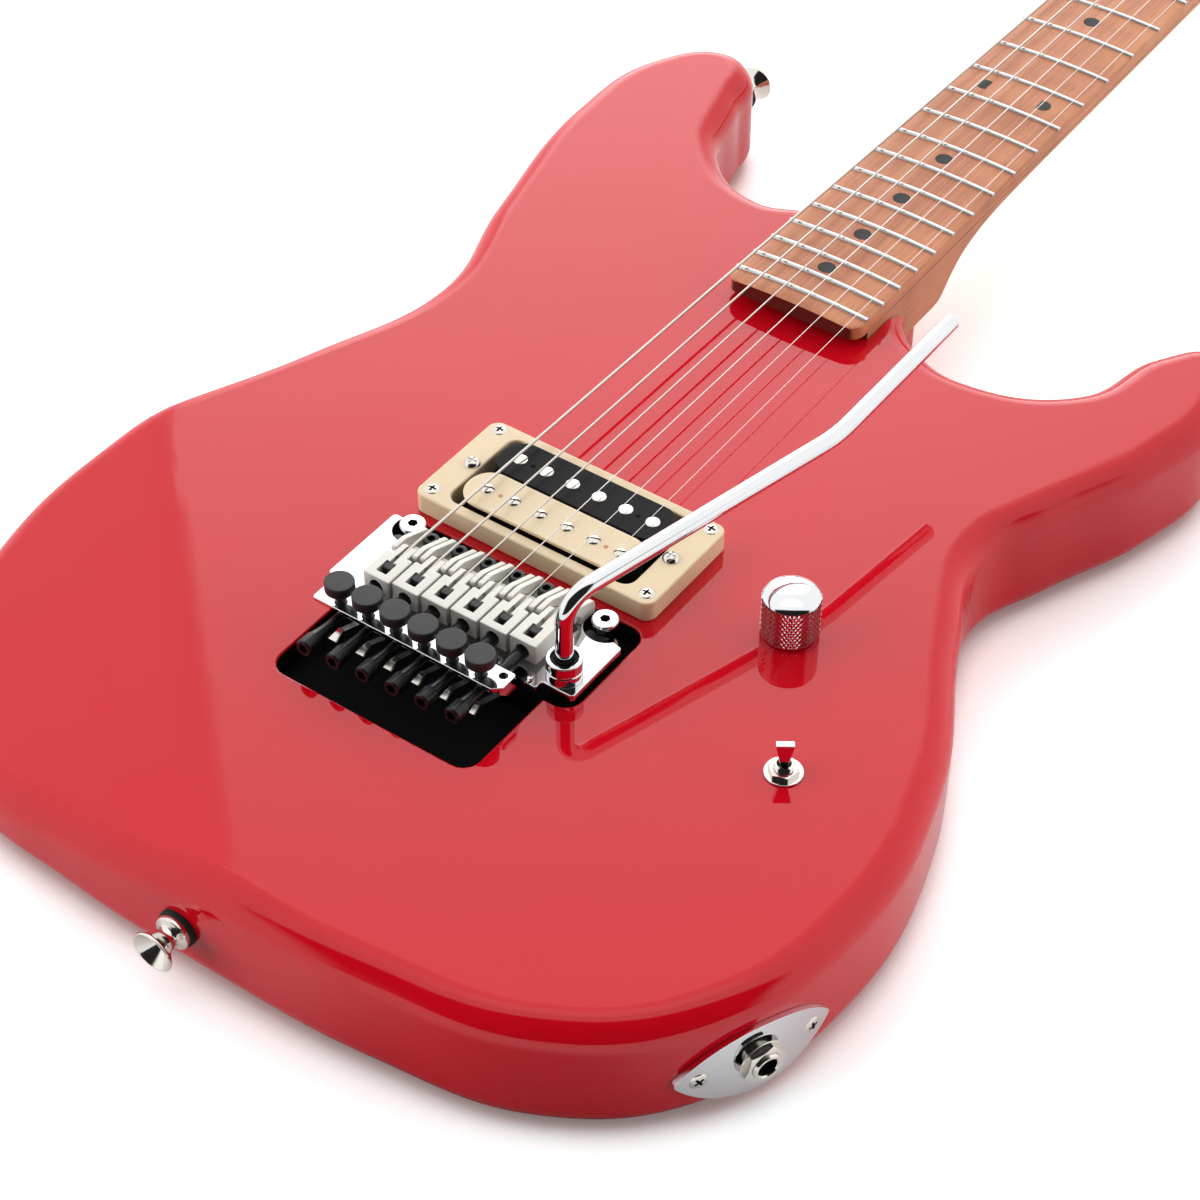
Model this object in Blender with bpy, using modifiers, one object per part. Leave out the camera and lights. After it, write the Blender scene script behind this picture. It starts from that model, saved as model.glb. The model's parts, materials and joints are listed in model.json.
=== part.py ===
"""Solid electric guitar with a bolt-on neck, a floating locking tremolo and one humbucking pickup.

Lengths are in metres. The guitar lies on its back: +Z comes out of the top, +Y runs from the bridge to the
headstock and +X points to the treble side. The origin is on the back, under the middle of the saddle line.
"""

import math

import bmesh
import bpy
from mathutils import Matrix, Vector

MM = 0.001

# Clearances
GAP = 0.3 * MM
COVER_SIDE_GAP = 0.4 * MM
OVERSHOOT = 2.0 * MM

# Body
BODY_THICKNESS = 45.0 * MM
EDGE_RADIUS = 7.0 * MM
CREASE_START = (-145.8 * MM, 17.9 * MM)
CREASE_END = (11.8 * MM, -130.1 * MM)
CONTOUR_SLOPE = 0.31
CONTOUR_FILLET = 18.0 * MM
OUTLINE_STEPS = 4
EDGE_STEPS = 1

# Scale, fretboard and neck
SCALE_LENGTH = 648.0 * MM
FRET_COUNT = 22
LAST_FRET_HALF_WIDTH = 27.3 * MM
NUT_HALF_WIDTH = 21.0 * MM
BOARD_OVERHANG = 7.5 * MM
BOARD_THICKNESS = 5.0 * MM
BOARD_LIFT = 3.3 * MM
BOARD_RADIUS = 305.0 * MM
BOARD_CORNER = 3.0 * MM
FRET_WIDTH = 2.4 * MM
FRET_TOP_WIDTH = 1.3 * MM
FRET_HEIGHT = 1.1 * MM
HEEL_SETBACK = 8.0 * MM
HEEL_LENGTH = 62.0 * MM
HEEL_DEPTH = 19.0 * MM
SHAFT_DEPTH_HEEL = 16.3 * MM
SHAFT_DEPTH_NUT = 14.6 * MM
HEAD_LIFT = 0.5 * MM
HEAD_THICKNESS = 13.0 * MM
TRUSS_WIDTH = 5.8 * MM
TRUSS_HEIGHT = 8.4 * MM
TRUSS_INSET = 18.0 * MM
NUT_LENGTH = 11.0 * MM
NUT_TOP_LIFT = 9.2 * MM

# Neck plate
NECK_PLATE_SIZE = (42.0 * MM, 44.0 * MM)
NECK_PLATE_OFFSET_X = -5.0 * MM
NECK_PLATE_SETBACK = 5.0 * MM
PLATE_THICKNESS = 2.0 * MM
PLATE_CORNER = 5.0 * MM

# Strings and tuners
STRING_DIAMETERS = (0.25 * MM, 0.30 * MM, 0.43 * MM, 0.66 * MM, 0.86 * MM, 1.07 * MM)
STRING_COUNT = len(STRING_DIAMETERS)
BRIDGE_SPACING = 10.8 * MM
NUT_SPACING = 7.0 * MM
STRING_BRIDGE_LIFT = 12.4 * MM
STRING_NUT_LIFT = 10.9 * MM
STRING_POST_LIFT = 6.0 * MM
TUNER_FIRST = 42.0 * MM
TUNER_PITCH = 25.5 * MM
POST_RADIUS = 3.0 * MM
POST_HEIGHT = 16.0 * MM
POST_SEAT = 4.0 * MM
HOUSING_SIZE = (15.0 * MM, 17.0 * MM, 9.0 * MM)
TUNER_STRIP_THICKNESS = 2.0 * MM
TUNER_STRIP_WIDTH = 13.0 * MM
WORM_RADIUS = 1.6 * MM
WORM_SEAT = 4.0 * MM
BUTTON_REACH = 27.0 * MM
BUTTON_SIZE = (17.0 * MM, 11.0 * MM, 7.0 * MM)
BUTTON_ROUND = 2.6 * MM

# Tremolo: heights are above the body's top
PLATE_TOP_LIFT = 3.6 * MM
BRIDGE_PLATE_THICKNESS = 2.6 * MM
BRIDGE_PLATE_MARGIN = 9.7 * MM
BRIDGE_PLATE_FRONT = 11.5 * MM
BRIDGE_PLATE_REAR = -21.8 * MM
BRIDGE_TAIL_MARGIN = 3.85 * MM
BRIDGE_TAIL_REAR = -25.0 * MM
BRIDGE_PLATE_CORNER = 2.5 * MM
SHELF_REAR = -40.8 * MM
SHELF_FRONT = -31.5 * MM
SHELF_CLEARANCE = 1.5 * MM
SHELF_THICKNESS = 1.6 * MM
SHELF_LIP = 0.3 * MM
CHEEK_THICKNESS = 3.0 * MM
CHEEK_GAP_BASS = 3.9 * MM
CHEEK_GAP_TREBLE = 0.6 * MM
CHEEK_FRONT = -21.6 * MM
STUD_SIDE_GAP = 5.65 * MM
STUD_Y = 9.2 * MM
STUD_NECK_RADIUS = 2.9 * MM
STUD_HEAD_RADIUS = 4.35 * MM
STUD_HEAD_BOTTOM_LIFT = 4.3 * MM
STUD_HEAD_TOP_LIFT = 6.9 * MM
STUD_FLANGE_RADIUS = 4.2 * MM
STUD_FLANGE_HEIGHT = 4.0 * MM
STUD_DEPTH = 24.0 * MM
STUD_NOTCH_GAP = 0.6 * MM
SADDLE_SIDE_GAP = 0.5 * MM
SADDLE_REAR = -20.5 * MM
SADDLE_BLOCK_FRONT = -4.0 * MM
SADDLE_FRONT = 9.5 * MM
SADDLE_TOP_LIFT = 13.0 * MM
SADDLE_FOOT_REAR = 3.0 * MM
SADDLE_FOOT_RISE = 1.5 * MM
SADDLE_PIVOT_Y = 7.0 * MM
LOCK_SCREW_RADIUS = 2.3 * MM
LOCK_HEAD_RADIUS = 3.3 * MM
LOCK_HEAD_LENGTH = 6.0 * MM
LOCK_SCREW_REAR = -57.0 * MM
LOCK_SCREW_REAR_LIFT = 7.0 * MM
LOCK_SCREW_FRONT_LIFT = 9.1 * MM
FINE_TUNER_Y = -37.6 * MM
FINE_STEM_RADIUS = 1.8 * MM
FINE_HEAD_SIDE_GAP = 1.2 * MM
FINE_HEAD_HEIGHT = 3.8 * MM
FINE_HEAD_LIFT = 8.6 * MM
BLOCK_SIDE_INSET = 0.15 * MM
BLOCK_FRONT = 6.0 * MM
BLOCK_REAR = -8.0 * MM
BLOCK_ABOVE_COVER = 9.0 * MM
ARM_SIDE_GAP = 8.05 * MM
ARM_Y = -15.5 * MM
ARM_RADIUS = 2.9 * MM
ARM_POST_LIFT = 26.0 * MM
ARM_ELBOW = ((0.3, 1.7, 30.8), (1.0, 5.2, 34.2), (2.4, 10.6, 35.7))
ARM_REACH = ((27.2, 98.0, 39.8), (29.1, 105.0, 40.3), (30.0, 112.0, 40.9), (32.4, 170.4, 46.1))
COLLAR_RADIUS = 5.6 * MM
COLLAR_HEIGHT = 7.0 * MM
PIVOT_LIFT = 2.3 * MM

# Tremolo recess, block slot, spring cavity and its cover
RECESS_DEPTH = 8.5 * MM
RECESS_SIDE_GAP = 2.0 * MM
RECESS_FRONT = 17.0 * MM
RECESS_STEP = -24.5 * MM
RECESS_REAR = -62.0 * MM
RECESS_TAIL_GAP = 1.0 * MM
RECESS_CORNER = 6.0 * MM
SLOT_SIDE_GAP = 1.5 * MM
SLOT_REAR = -26.0 * MM
SLOT_FRONT = 14.0 * MM
SPRING_RADIUS = 4.2 * MM
SPRING_ABOVE_BLOCK_END = 4.0 * MM
SPRING_HALF_SPACING = 14.0 * MM
SPRING_CAVITY_HALF_WIDTH = 29.0 * MM
SPRING_CAVITY_HEADROOM = 3.0 * MM
SPRING_CAVITY_FRONT = 118.0 * MM
CLAW_Y = 104.0 * MM
CLAW_THICKNESS = 3.0 * MM
CLAW_HALF_WIDTH = 23.0 * MM
CLAW_HEIGHT = 10.0 * MM
CLAW_SCREW_RADIUS = 2.0 * MM
CLAW_SCREW_X = 6.0 * MM
COVER_LEDGE = 6.0 * MM

# Pickup: heights are above the body's top
RING_END_WIDTH = 10.7 * MM
RING_SIDE_WIDTH = 4.0 * MM
RING_HEIGHT = 7.7 * MM
RING_HOLE_END_GAP = 2.2 * MM
RING_HOLE_SIDE_GAP = 0.9 * MM
RING_Y = 42.8 * MM
RING_CORNER = 4.0 * MM
BOBBIN_HALF_LENGTH = 33.8 * MM
BOBBIN_WIDTH = 17.2 * MM
BOBBIN_GAP = 0.6 * MM
BOBBIN_TOP_LIFT = 9.6 * MM
BOBBIN_HEIGHT = 15.6 * MM
BASEPLATE_THICKNESS = 1.5 * MM
BASEPLATE_END_MARGIN = 1.2 * MM
BASEPLATE_SIDE_MARGIN = 0.5 * MM
EAR_HALF_WIDTH = 6.0 * MM
HEIGHT_SCREW_INSET = 3.4 * MM
HEIGHT_SCREW_RADIUS = 1.6 * MM
HEIGHT_SCREW_HEAD_RADIUS = 2.9 * MM
HEIGHT_SCREW_HEAD = 1.6 * MM
PICKUP_CAVITY_DEPTH = 18.0 * MM
PICKUP_CAVITY_GAP = 1.5 * MM

# Controls
KNOB_X = 83.9 * MM
KNOB_Y = 43.3 * MM
KNOB_RADIUS = 9.7 * MM
KNOB_HEIGHT = 18.0 * MM
KNOB_DOME = 4.2 * MM
KNOB_LIFT = 0.6 * MM
POT_RADIUS = 12.0 * MM
POT_HEIGHT = 12.0 * MM
POT_BUSHING_RADIUS = 4.6 * MM
POT_BUSHING_LIFT = 3.0 * MM
POT_SHAFT_RADIUS = 3.0 * MM
POT_SHAFT_LIFT = 13.5 * MM
TOGGLE_X = 114.4 * MM
TOGGLE_Y = -7.8 * MM
TOGGLE_TURN = math.radians(35)
TOGGLE_BODY = (13.0 * MM, 8.0 * MM, 12.0 * MM)
TOGGLE_BUSHING_RADIUS = 3.1 * MM
TOGGLE_BUSHING_LIFT = 4.2 * MM
TOGGLE_NUT_RADIUS = 5.6 * MM
TOGGLE_NUT_HEIGHT = 2.0 * MM
TOGGLE_BORE_RADIUS = 2.3 * MM
TOGGLE_PIVOT_LIFT = 1.5 * MM
LEVER_WIDTH = 2.4 * MM
LEVER_FLARE = 5.8 * MM
LEVER_LIFT = 12.4 * MM
CONTROL_TOP_WALL = 6.0 * MM
CONTROL_OUTLINE = ((64, 58), (98, 62), (121, 24), (134, -22), (124, -58), (98, -62), (74, -14))

# Output jack: its axis points out of the treble side of the tail
JACK_X = 155.0 * MM
JACK_Y = -82.0 * MM
JACK_Z = 19.5 * MM
JACK_ANGLE = math.radians(-23)
JACK_BORE_RADIUS = 10.5 * MM
JACK_BORE_DEPTH = 50.0 * MM
JACK_SOCKET_RADIUS = 3.2 * MM
JACK_SOCKET_DEPTH = 24.0 * MM
JACK_BARREL_RADIUS = 4.7 * MM
JACK_BODY_RADIUS = 8.5 * MM
JACK_BODY_LENGTH = 22.0 * MM
JACK_NUT_RADIUS = 6.6 * MM
JACK_NUT_HEIGHT = 2.6 * MM
JACK_PLATE_THICKNESS = 1.5 * MM
JACK_PLATE_HALF_LENGTH = 26.5 * MM
JACK_PLATE_HALF_HEIGHT = 13.8 * MM

# Strap buttons
BUTTON_TAIL_X = -7.3 * MM
STRAP_BUTTON_Z = 20.5 * MM
STRAP_BASE_RADIUS = 6.0 * MM
STRAP_NECK_RADIUS = 3.6 * MM
STRAP_HEAD_RADIUS = 7.2 * MM
STRAP_RIM = 2.0 * MM
STRAP_DISH = 2.2 * MM
STRAP_LENGTH = 12.0 * MM

# Values that follow from the sizes above
TOP = BODY_THICKNESS
LAST_FRET_Y = SCALE_LENGTH * 2 ** (-FRET_COUNT / 12)
BOARD_END_Y = LAST_FRET_Y - BOARD_OVERHANG
HEEL_Y = BOARD_END_Y + HEEL_SETBACK
NECK_TOP = TOP + BOARD_LIFT - GAP
POCKET_FLOOR = NECK_TOP - HEEL_DEPTH - GAP
BOARD_EDGE = TOP + BOARD_LIFT + BOARD_THICKNESS
HEAD_TOP = TOP + HEAD_LIFT
HEAD_BOTTOM = HEAD_TOP - HEAD_THICKNESS
PLATE_TOP = TOP + PLATE_TOP_LIFT
PLATE_BOTTOM = PLATE_TOP - BRIDGE_PLATE_THICKNESS
OUTER_STRING = (STRING_COUNT - 1) * BRIDGE_SPACING / 2
SADDLE_WIDTH = BRIDGE_SPACING - SADDLE_SIDE_GAP
SADDLES_HALF_WIDTH = OUTER_STRING + SADDLE_WIDTH / 2
FINE_HEAD_RADIUS = (BRIDGE_SPACING - FINE_HEAD_SIDE_GAP) / 2
STUD_HALF_SPACING = SADDLES_HALF_WIDTH + STUD_SIDE_GAP
BRIDGE_PLATE_HALF_WIDTH = STUD_HALF_SPACING + BRIDGE_PLATE_MARGIN
BRIDGE_TAIL_HALF_WIDTH = SADDLES_HALF_WIDTH + BRIDGE_TAIL_MARGIN
BLOCK_HALF_WIDTH = SADDLES_HALF_WIDTH - BLOCK_SIDE_INSET
ARM_X = SADDLES_HALF_WIDTH + ARM_SIDE_GAP
CHEEK_INNER_BASS = -OUTER_STRING - LOCK_HEAD_RADIUS - CHEEK_GAP_BASS
CHEEK_INNER_TREBLE = OUTER_STRING + LOCK_HEAD_RADIUS + CHEEK_GAP_TREBLE
SHELF_BASS_END = CHEEK_INNER_BASS - CHEEK_THICKNESS - SHELF_LIP
SHELF_TREBLE_END = CHEEK_INNER_TREBLE + CHEEK_THICKNESS + SHELF_LIP
RECESS_TAIL_HALF_WIDTH = RECESS_TAIL_GAP - SHELF_BASS_END
LOCK_SCREW_FALL = (LOCK_SCREW_FRONT_LIFT - LOCK_SCREW_REAR_LIFT) / (SADDLE_REAR - LOCK_SCREW_REAR)
TAIL_TOP_LIFT = LOCK_SCREW_REAR_LIFT + LOCK_SCREW_FALL * (FINE_TUNER_Y - LOCK_SCREW_REAR) + LOCK_SCREW_RADIUS
SHELF_TOP = TOP + TAIL_TOP_LIFT + SHELF_CLEARANCE + SHELF_THICKNESS
RECESS_FLOOR = TOP - RECESS_DEPTH
BLOCK_BOTTOM = PLATE_THICKNESS + BLOCK_ABOVE_COVER
SPRING_Z = BLOCK_BOTTOM + SPRING_ABOVE_BLOCK_END
PIVOT_Y = STUD_Y - STUD_NECK_RADIUS
PIVOT = Vector((0, PIVOT_Y, TOP + PIVOT_LIFT))
BOBBIN_HALF_PITCH = (BOBBIN_WIDTH + BOBBIN_GAP) / 2
BOBBINS_HALF_WIDTH = BOBBIN_HALF_PITCH + BOBBIN_WIDTH / 2
RING_HOLE_HALF_LENGTH = BOBBIN_HALF_LENGTH + RING_HOLE_END_GAP
RING_HOLE_HALF_WIDTH = BOBBINS_HALF_WIDTH + RING_HOLE_SIDE_GAP
RING_HALF_LENGTH = RING_HOLE_HALF_LENGTH + RING_END_WIDTH
RING_HALF_WIDTH = RING_HOLE_HALF_WIDTH + RING_SIDE_WIDTH
BASEPLATE_HALF_LENGTH = BOBBIN_HALF_LENGTH + BASEPLATE_END_MARGIN
BASEPLATE_HALF_WIDTH = BOBBINS_HALF_WIDTH + BASEPLATE_SIDE_MARGIN
HEIGHT_SCREW_X = RING_HOLE_HALF_LENGTH + HEIGHT_SCREW_INSET
CONTROL_CEILING = TOP - CONTROL_TOP_WALL
JACK_AXIS = Vector((math.cos(JACK_ANGLE), math.sin(JACK_ANGLE), 0))

# The outline runs anticlockwise from the tail. The lower half is measured from the saddle line and the upper
# half, in the second table, from the end of the neck heel.
TREBLE_LOWER = (
    (0, -141.5), (60, -138.5), (112, -126.5), (147, -94.5),
    (162.5, -40), (153, 21), (126, 78), (113.6, 114),
)
UPPER = (
    (124, -36.5), (140.5, 5), (144.5, 43), (128, 68.5), (111.5, 54), (99, 20), (64, 4.2), (44, 9.5),
    (31, 20.5), (26.2, 33), (25, 51), (16, 61), (-16, 62.5), (-34, 57.5), (-50.7, 52), (-80, 68.5),
    (-93, 101), (-100, 122.5), (-117, 129), (-138.5, 107), (-143.5, 63), (-130, -7),
)
BASS_LOWER = (
    (-115.8, 121), (-131, 67), (-158.5, -4), (-164.5, -50), (-147, -104), (-105, -133.5), (-55, -140.5),
)
HORN_TIP = (-110, 129.6)

# Headstock edges: distance along the neck, bass edge, treble edge. The throat is measured from the nut and
# from the neck's edges, the blade from the post of each string and the tip from the last post.
THROAT = ((13, 0.0, 0.0), (22, -2.5, 0.5), (32, -8.5, 2.0))
BLADE = {6: (-13.0, 45.5), 5: (-13.5, 44.3), 3: (-13.9, 39.3), 1: (-13.5, 31.7)}
TIP = ((14.5, -9.1, 30.4), (23.5, -2.6, 25.4), (28.5, 5.4, 18.4))

# Finishes: colour, roughness, metallic
FINISHES = {
    "red_gloss": ((0.52, 0.004, 0.014), 0.12, 0.0),
    "roasted_maple": ((0.52, 0.23, 0.12), 0.42, 0.0),
    "chrome": ((0.82, 0.83, 0.85), 0.08, 1.0),
    "satin_nickel": ((0.74, 0.72, 0.68), 0.32, 1.0),
    "black_steel": ((0.018, 0.018, 0.02), 0.4, 0.6),
    "string_steel": ((0.62, 0.6, 0.57), 0.3, 1.0),
    "cream_plastic": ((0.82, 0.66, 0.40), 0.35, 0.0),
    "black_plastic": ((0.015, 0.015, 0.017), 0.35, 0.0),
    "zinc": ((0.5, 0.5, 0.52), 0.45, 1.0),
}


def start_scene():
    for item in list(bpy.data.objects):
        bpy.data.objects.remove(item, do_unlink=True)
    parts = bpy.data.collections.new("electric_guitar")
    cutters = bpy.data.collections.new("cutters")
    for group in (parts, cutters):
        bpy.context.scene.collection.children.link(group)
    return parts, cutters


PARTS, CUTTERS = start_scene()


def finish_material(name):
    if name in bpy.data.materials:
        return bpy.data.materials[name]
    colour, roughness, metallic = FINISHES[name]
    made = bpy.data.materials.new(name)
    made.use_nodes = True
    shader = made.node_tree.nodes["Principled BSDF"]
    shader.inputs["Base Color"].default_value = (*colour, 1)
    shader.inputs["Roughness"].default_value = roughness
    shader.inputs["Metallic"].default_value = metallic
    return made


def part(name, shape, finish):
    """Names a shape as a part and gives it its finish."""
    shape.name = name
    shape.data.name = name
    shape.data.materials.clear()
    shape.data.materials.append(finish_material(finish))
    shape.data.shade_smooth()
    shape.data.set_sharp_from_angle(angle=math.radians(35))
    return shape


def add_object(mesh, location=(0, 0, 0)):
    made = bpy.data.objects.new("shape", mesh)
    made.location = location
    PARTS.objects.link(made)
    return made


def object_from(bm, location=(0, 0, 0)):
    bmesh.ops.recalc_face_normals(bm, faces=bm.faces)
    mesh = bpy.data.meshes.new("shape")
    bm.to_mesh(mesh)
    bm.free()
    return add_object(mesh, location)


def box(low, high, corner=0.0, corner_steps=3):
    """An upright box between two corners, with rounded vertical edges where a corner radius is given."""
    bm = bmesh.new()
    bmesh.ops.create_cube(bm, size=1)
    size = Vector(high) - Vector(low)
    centre = (Vector(high) + Vector(low)) / 2
    bmesh.ops.scale(bm, vec=size, verts=bm.verts)
    if corner:
        upright = [edge for edge in bm.edges if abs(edge.verts[0].co.z - edge.verts[1].co.z) > size.z / 2]
        bmesh.ops.bevel(bm, geom=upright, offset=corner, segments=corner_steps, profile=0.5, affect="EDGES")
    return object_from(bm, centre)


def rod(start, end, radius, end_radius=None, sides=16):
    """A straight round bar, or a cone, between two points."""
    start, end = Vector(start), Vector(end)
    span = end - start
    bm = bmesh.new()
    bmesh.ops.create_cone(
        bm,
        cap_ends=True,
        segments=sides,
        radius1=radius,
        radius2=radius if end_radius is None else end_radius,
        depth=span.length,
    )
    made = object_from(bm, (start + end) / 2)
    made.rotation_mode = "QUATERNION"
    made.rotation_quaternion = span.to_track_quat("Z", "Y")
    return made


def curve_mesh(curve):
    """Turns a filled or bevelled curve into a closed mesh object."""
    guide = bpy.data.objects.new("guide", curve)
    PARTS.objects.link(guide)
    bpy.context.view_layer.update()
    graph = bpy.context.evaluated_depsgraph_get()
    mesh = bpy.data.meshes.new_from_object(guide.evaluated_get(graph))
    bpy.data.objects.remove(guide, do_unlink=True)
    bm = bmesh.new()
    bm.from_mesh(mesh)
    bmesh.ops.remove_doubles(bm, verts=bm.verts, dist=1e-6)
    bpy.data.meshes.remove(mesh)
    return object_from(bm)


def slab(points, bottom, top, smooth=False, grow=0.0, round_edge=0.0, edge_steps=EDGE_STEPS):
    """A flat outline, in metres, extruded between two heights, with rounded edges if a radius is given."""
    curve = bpy.data.curves.new("outline", "CURVE")
    curve.dimensions = "2D"
    curve.fill_mode = "BOTH"
    curve.extrude = (top - bottom) / 2 - round_edge
    curve.bevel_depth = round_edge
    curve.bevel_resolution = edge_steps
    curve.offset = grow - round_edge
    if smooth:
        curve.resolution_u = OUTLINE_STEPS
        spline = curve.splines.new("BEZIER")
        spline.bezier_points.add(len(points) - 1)
        for knot, (x, y) in zip(spline.bezier_points, points):
            knot.co = (x, y, 0)
            knot.handle_left_type = "AUTO"
            knot.handle_right_type = "AUTO"
    else:
        spline = curve.splines.new("POLY")
        spline.points.add(len(points) - 1)
        for knot, (x, y) in zip(spline.points, points):
            knot.co = (x, y, 0, 1)
    spline.use_cyclic_u = True
    made = curve_mesh(curve)
    made.location.z = (top + bottom) / 2
    return made


def wire(points, radius, resolution=2):
    """A round wire through a list of points."""
    curve = bpy.data.curves.new("wire", "CURVE")
    curve.dimensions = "3D"
    curve.bevel_depth = radius
    curve.bevel_resolution = resolution
    curve.use_fill_caps = True
    spline = curve.splines.new("POLY")
    spline.points.add(len(points) - 1)
    for knot, place in zip(spline.points, points):
        knot.co = (*place, 1)
    return curve_mesh(curve)


def turned(profile, location, axis=(0, 0, 1), steps=24):
    """A shape turned about its own Z axis. The profile runs down the outside, from the axis to the axis."""
    mesh = bpy.data.meshes.new("profile")
    places = [(radius, 0, height) for radius, height in profile]
    mesh.from_pydata(places, [(i, i + 1) for i in range(len(places) - 1)], [])
    made = add_object(mesh, location)
    screw = made.modifiers.new("turn", "SCREW")
    screw.axis = "Z"
    screw.steps = steps
    screw.render_steps = steps
    screw.use_merge_vertices = True
    screw.merge_threshold = 0.00001
    made.rotation_mode = "QUATERNION"
    made.rotation_quaternion = Vector(axis).to_track_quat("Z", "Y")
    return made


def loft(rings):
    """A closed skin over rings that have the same number of points."""
    bm = bmesh.new()
    loops = [[bm.verts.new(place) for place in ring] for ring in rings]
    count = len(loops[0])
    for near, far in zip(loops, loops[1:]):
        for i in range(count):
            j = (i + 1) % count
            bm.faces.new((near[i], near[j], far[j], far[i]))
    bm.faces.new(loops[0])
    bm.faces.new(loops[-1])
    return object_from(bm)


def combine(target, other, operation):
    """Adds a Boolean to the target and puts the other shape away with the cutters."""
    PARTS.objects.unlink(other)
    CUTTERS.objects.link(other)
    other.hide_render = True
    other.display_type = "WIRE"
    other.name = f"{target.name}_{operation.lower()}"
    step = target.modifiers.new(operation.lower(), "BOOLEAN")
    step.operation = operation
    step.solver = "EXACT"
    step.object = other
    return target


def cut(target, *others):
    for other in others:
        combine(target, other, "DIFFERENCE")
    return target


def join(target, *others):
    for other in others:
        combine(target, other, "UNION")
    return target


def moving_frame(name, place):
    """An empty on a joint's axis, to carry the pieces that move together."""
    frame = bpy.data.objects.new(name, None)
    frame.location = place
    PARTS.objects.link(frame)
    return frame


def carry(frame, *pieces):
    """Parents pieces to a frame and leaves them where they are."""
    for piece in pieces:
        piece.parent = frame
        piece.matrix_parent_inverse = Matrix.Translation(-frame.location)


def set_origin(piece, place):
    """Moves an untilted piece's origin to a point on its joint axis."""
    shift = piece.location - Vector(place)
    piece.data.transform(Matrix.Translation(shift))
    piece.location = place


def in_metres(points):
    return [tuple(value * MM for value in point) for point in points]


def fret_y(number):
    return SCALE_LENGTH * 2 ** (-number / 12)


def neck_half_width(y):
    taper = (LAST_FRET_HALF_WIDTH - NUT_HALF_WIDTH) / (SCALE_LENGTH - LAST_FRET_Y)
    return LAST_FRET_HALF_WIDTH - taper * (y - LAST_FRET_Y)


def crown(x, half_width):
    """Height of the fretboard's round top above its own edges."""
    return math.sqrt(BOARD_RADIUS**2 - x**2) - math.sqrt(BOARD_RADIUS**2 - half_width**2)


def string_x(number, y):
    """Where a string runs. String 1 is on the treble side."""
    place = (STRING_COUNT + 1) / 2 - number
    spacing = BRIDGE_SPACING + (NUT_SPACING - BRIDGE_SPACING) * y / SCALE_LENGTH
    return place * spacing


def string_lift(number, y):
    """Height of a string above the body's top between the saddle and the nut."""
    nut_x = string_x(number, SCALE_LENGTH)
    at_nut = STRING_NUT_LIFT - crown(0, NUT_HALF_WIDTH) + crown(nut_x, NUT_HALF_WIDTH)
    return STRING_BRIDGE_LIFT + (at_nut - STRING_BRIDGE_LIFT) * y / SCALE_LENGTH


def body_outline():
    upper = [(x, y + HEEL_Y / MM) for x, y in UPPER]
    return in_metres([*TREBLE_LOWER, *upper, *BASS_LOWER])


def contour_drop(distance):
    """How far the forearm contour has dropped at a distance past its crease."""
    if distance <= 0:
        return 0.0
    if distance < CONTOUR_FILLET:
        return CONTOUR_SLOPE * distance**2 / (2 * CONTOUR_FILLET)
    return CONTOUR_SLOPE * (distance - CONTOUR_FILLET / 2)


def add_forearm_contour(body):
    """Slices the top along the crease and lowers the bass side of the lower bout."""
    start, end = Vector((*CREASE_START, 0)), Vector((*CREASE_END, 0))
    along = (end - start).normalized()
    outward = along.cross(Vector((0, 0, 1)))
    if outward.x > 0:
        outward.negate()
    bm = bmesh.new()
    bm.from_mesh(body.data)
    slices = 4
    for i in range(slices):
        place = start + outward * (CONTOUR_FILLET * i / (slices - 1))
        geometry = [*bm.verts, *bm.edges, *bm.faces]
        bmesh.ops.bisect_plane(bm, geom=geometry, dist=1e-6, plane_co=place, plane_no=outward)
    for vert in bm.verts:
        if vert.co.z > 0:
            vert.co.z -= contour_drop((Vector((vert.co.x, vert.co.y, 0)) - start).dot(outward))
    bm.to_mesh(body.data)
    bm.free()


def pocket_cutter():
    rear = HEEL_Y - GAP
    front = HEEL_Y + 2 * HEEL_LENGTH
    half_rear = neck_half_width(rear) + GAP
    half_front = neck_half_width(front) + GAP
    corners = [(-half_rear, rear), (half_rear, rear), (half_front, front), (-half_front, front)]
    return slab(corners, POCKET_FLOOR, BOARD_EDGE)


def recess_cutters():
    half = BRIDGE_PLATE_HALF_WIDTH + RECESS_SIDE_GAP
    front = box((-half, RECESS_STEP, RECESS_FLOOR), (half, RECESS_FRONT, TOP + OVERSHOOT), RECESS_CORNER)
    tail_half = RECESS_TAIL_HALF_WIDTH
    tail_top = TOP + OVERSHOOT
    tail_front = RECESS_STEP + RECESS_CORNER
    rear = box((-tail_half, RECESS_REAR, RECESS_FLOOR), (tail_half, tail_front, tail_top), RECESS_CORNER)
    slot_half = BLOCK_HALF_WIDTH + SLOT_SIDE_GAP
    slot = box((-slot_half, SLOT_REAR, -OVERSHOOT), (slot_half, SLOT_FRONT, RECESS_FLOOR + OVERSHOOT))
    return front, rear, slot


def spring_cavity_cutter():
    half = SPRING_CAVITY_HALF_WIDTH
    ceiling = SPRING_Z + SPRING_RADIUS + SPRING_CAVITY_HEADROOM
    rear = SLOT_FRONT - OVERSHOOT
    return box((-half, rear, -OVERSHOOT), (half, SPRING_CAVITY_FRONT, ceiling), RECESS_CORNER)


def spring_cover_corners(side_gap):
    half = BLOCK_HALF_WIDTH + SLOT_SIDE_GAP + COVER_LEDGE + side_gap
    return (-half, SLOT_REAR - COVER_LEDGE - side_gap), (half, SPRING_CAVITY_FRONT + COVER_LEDGE + side_gap)


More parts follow.
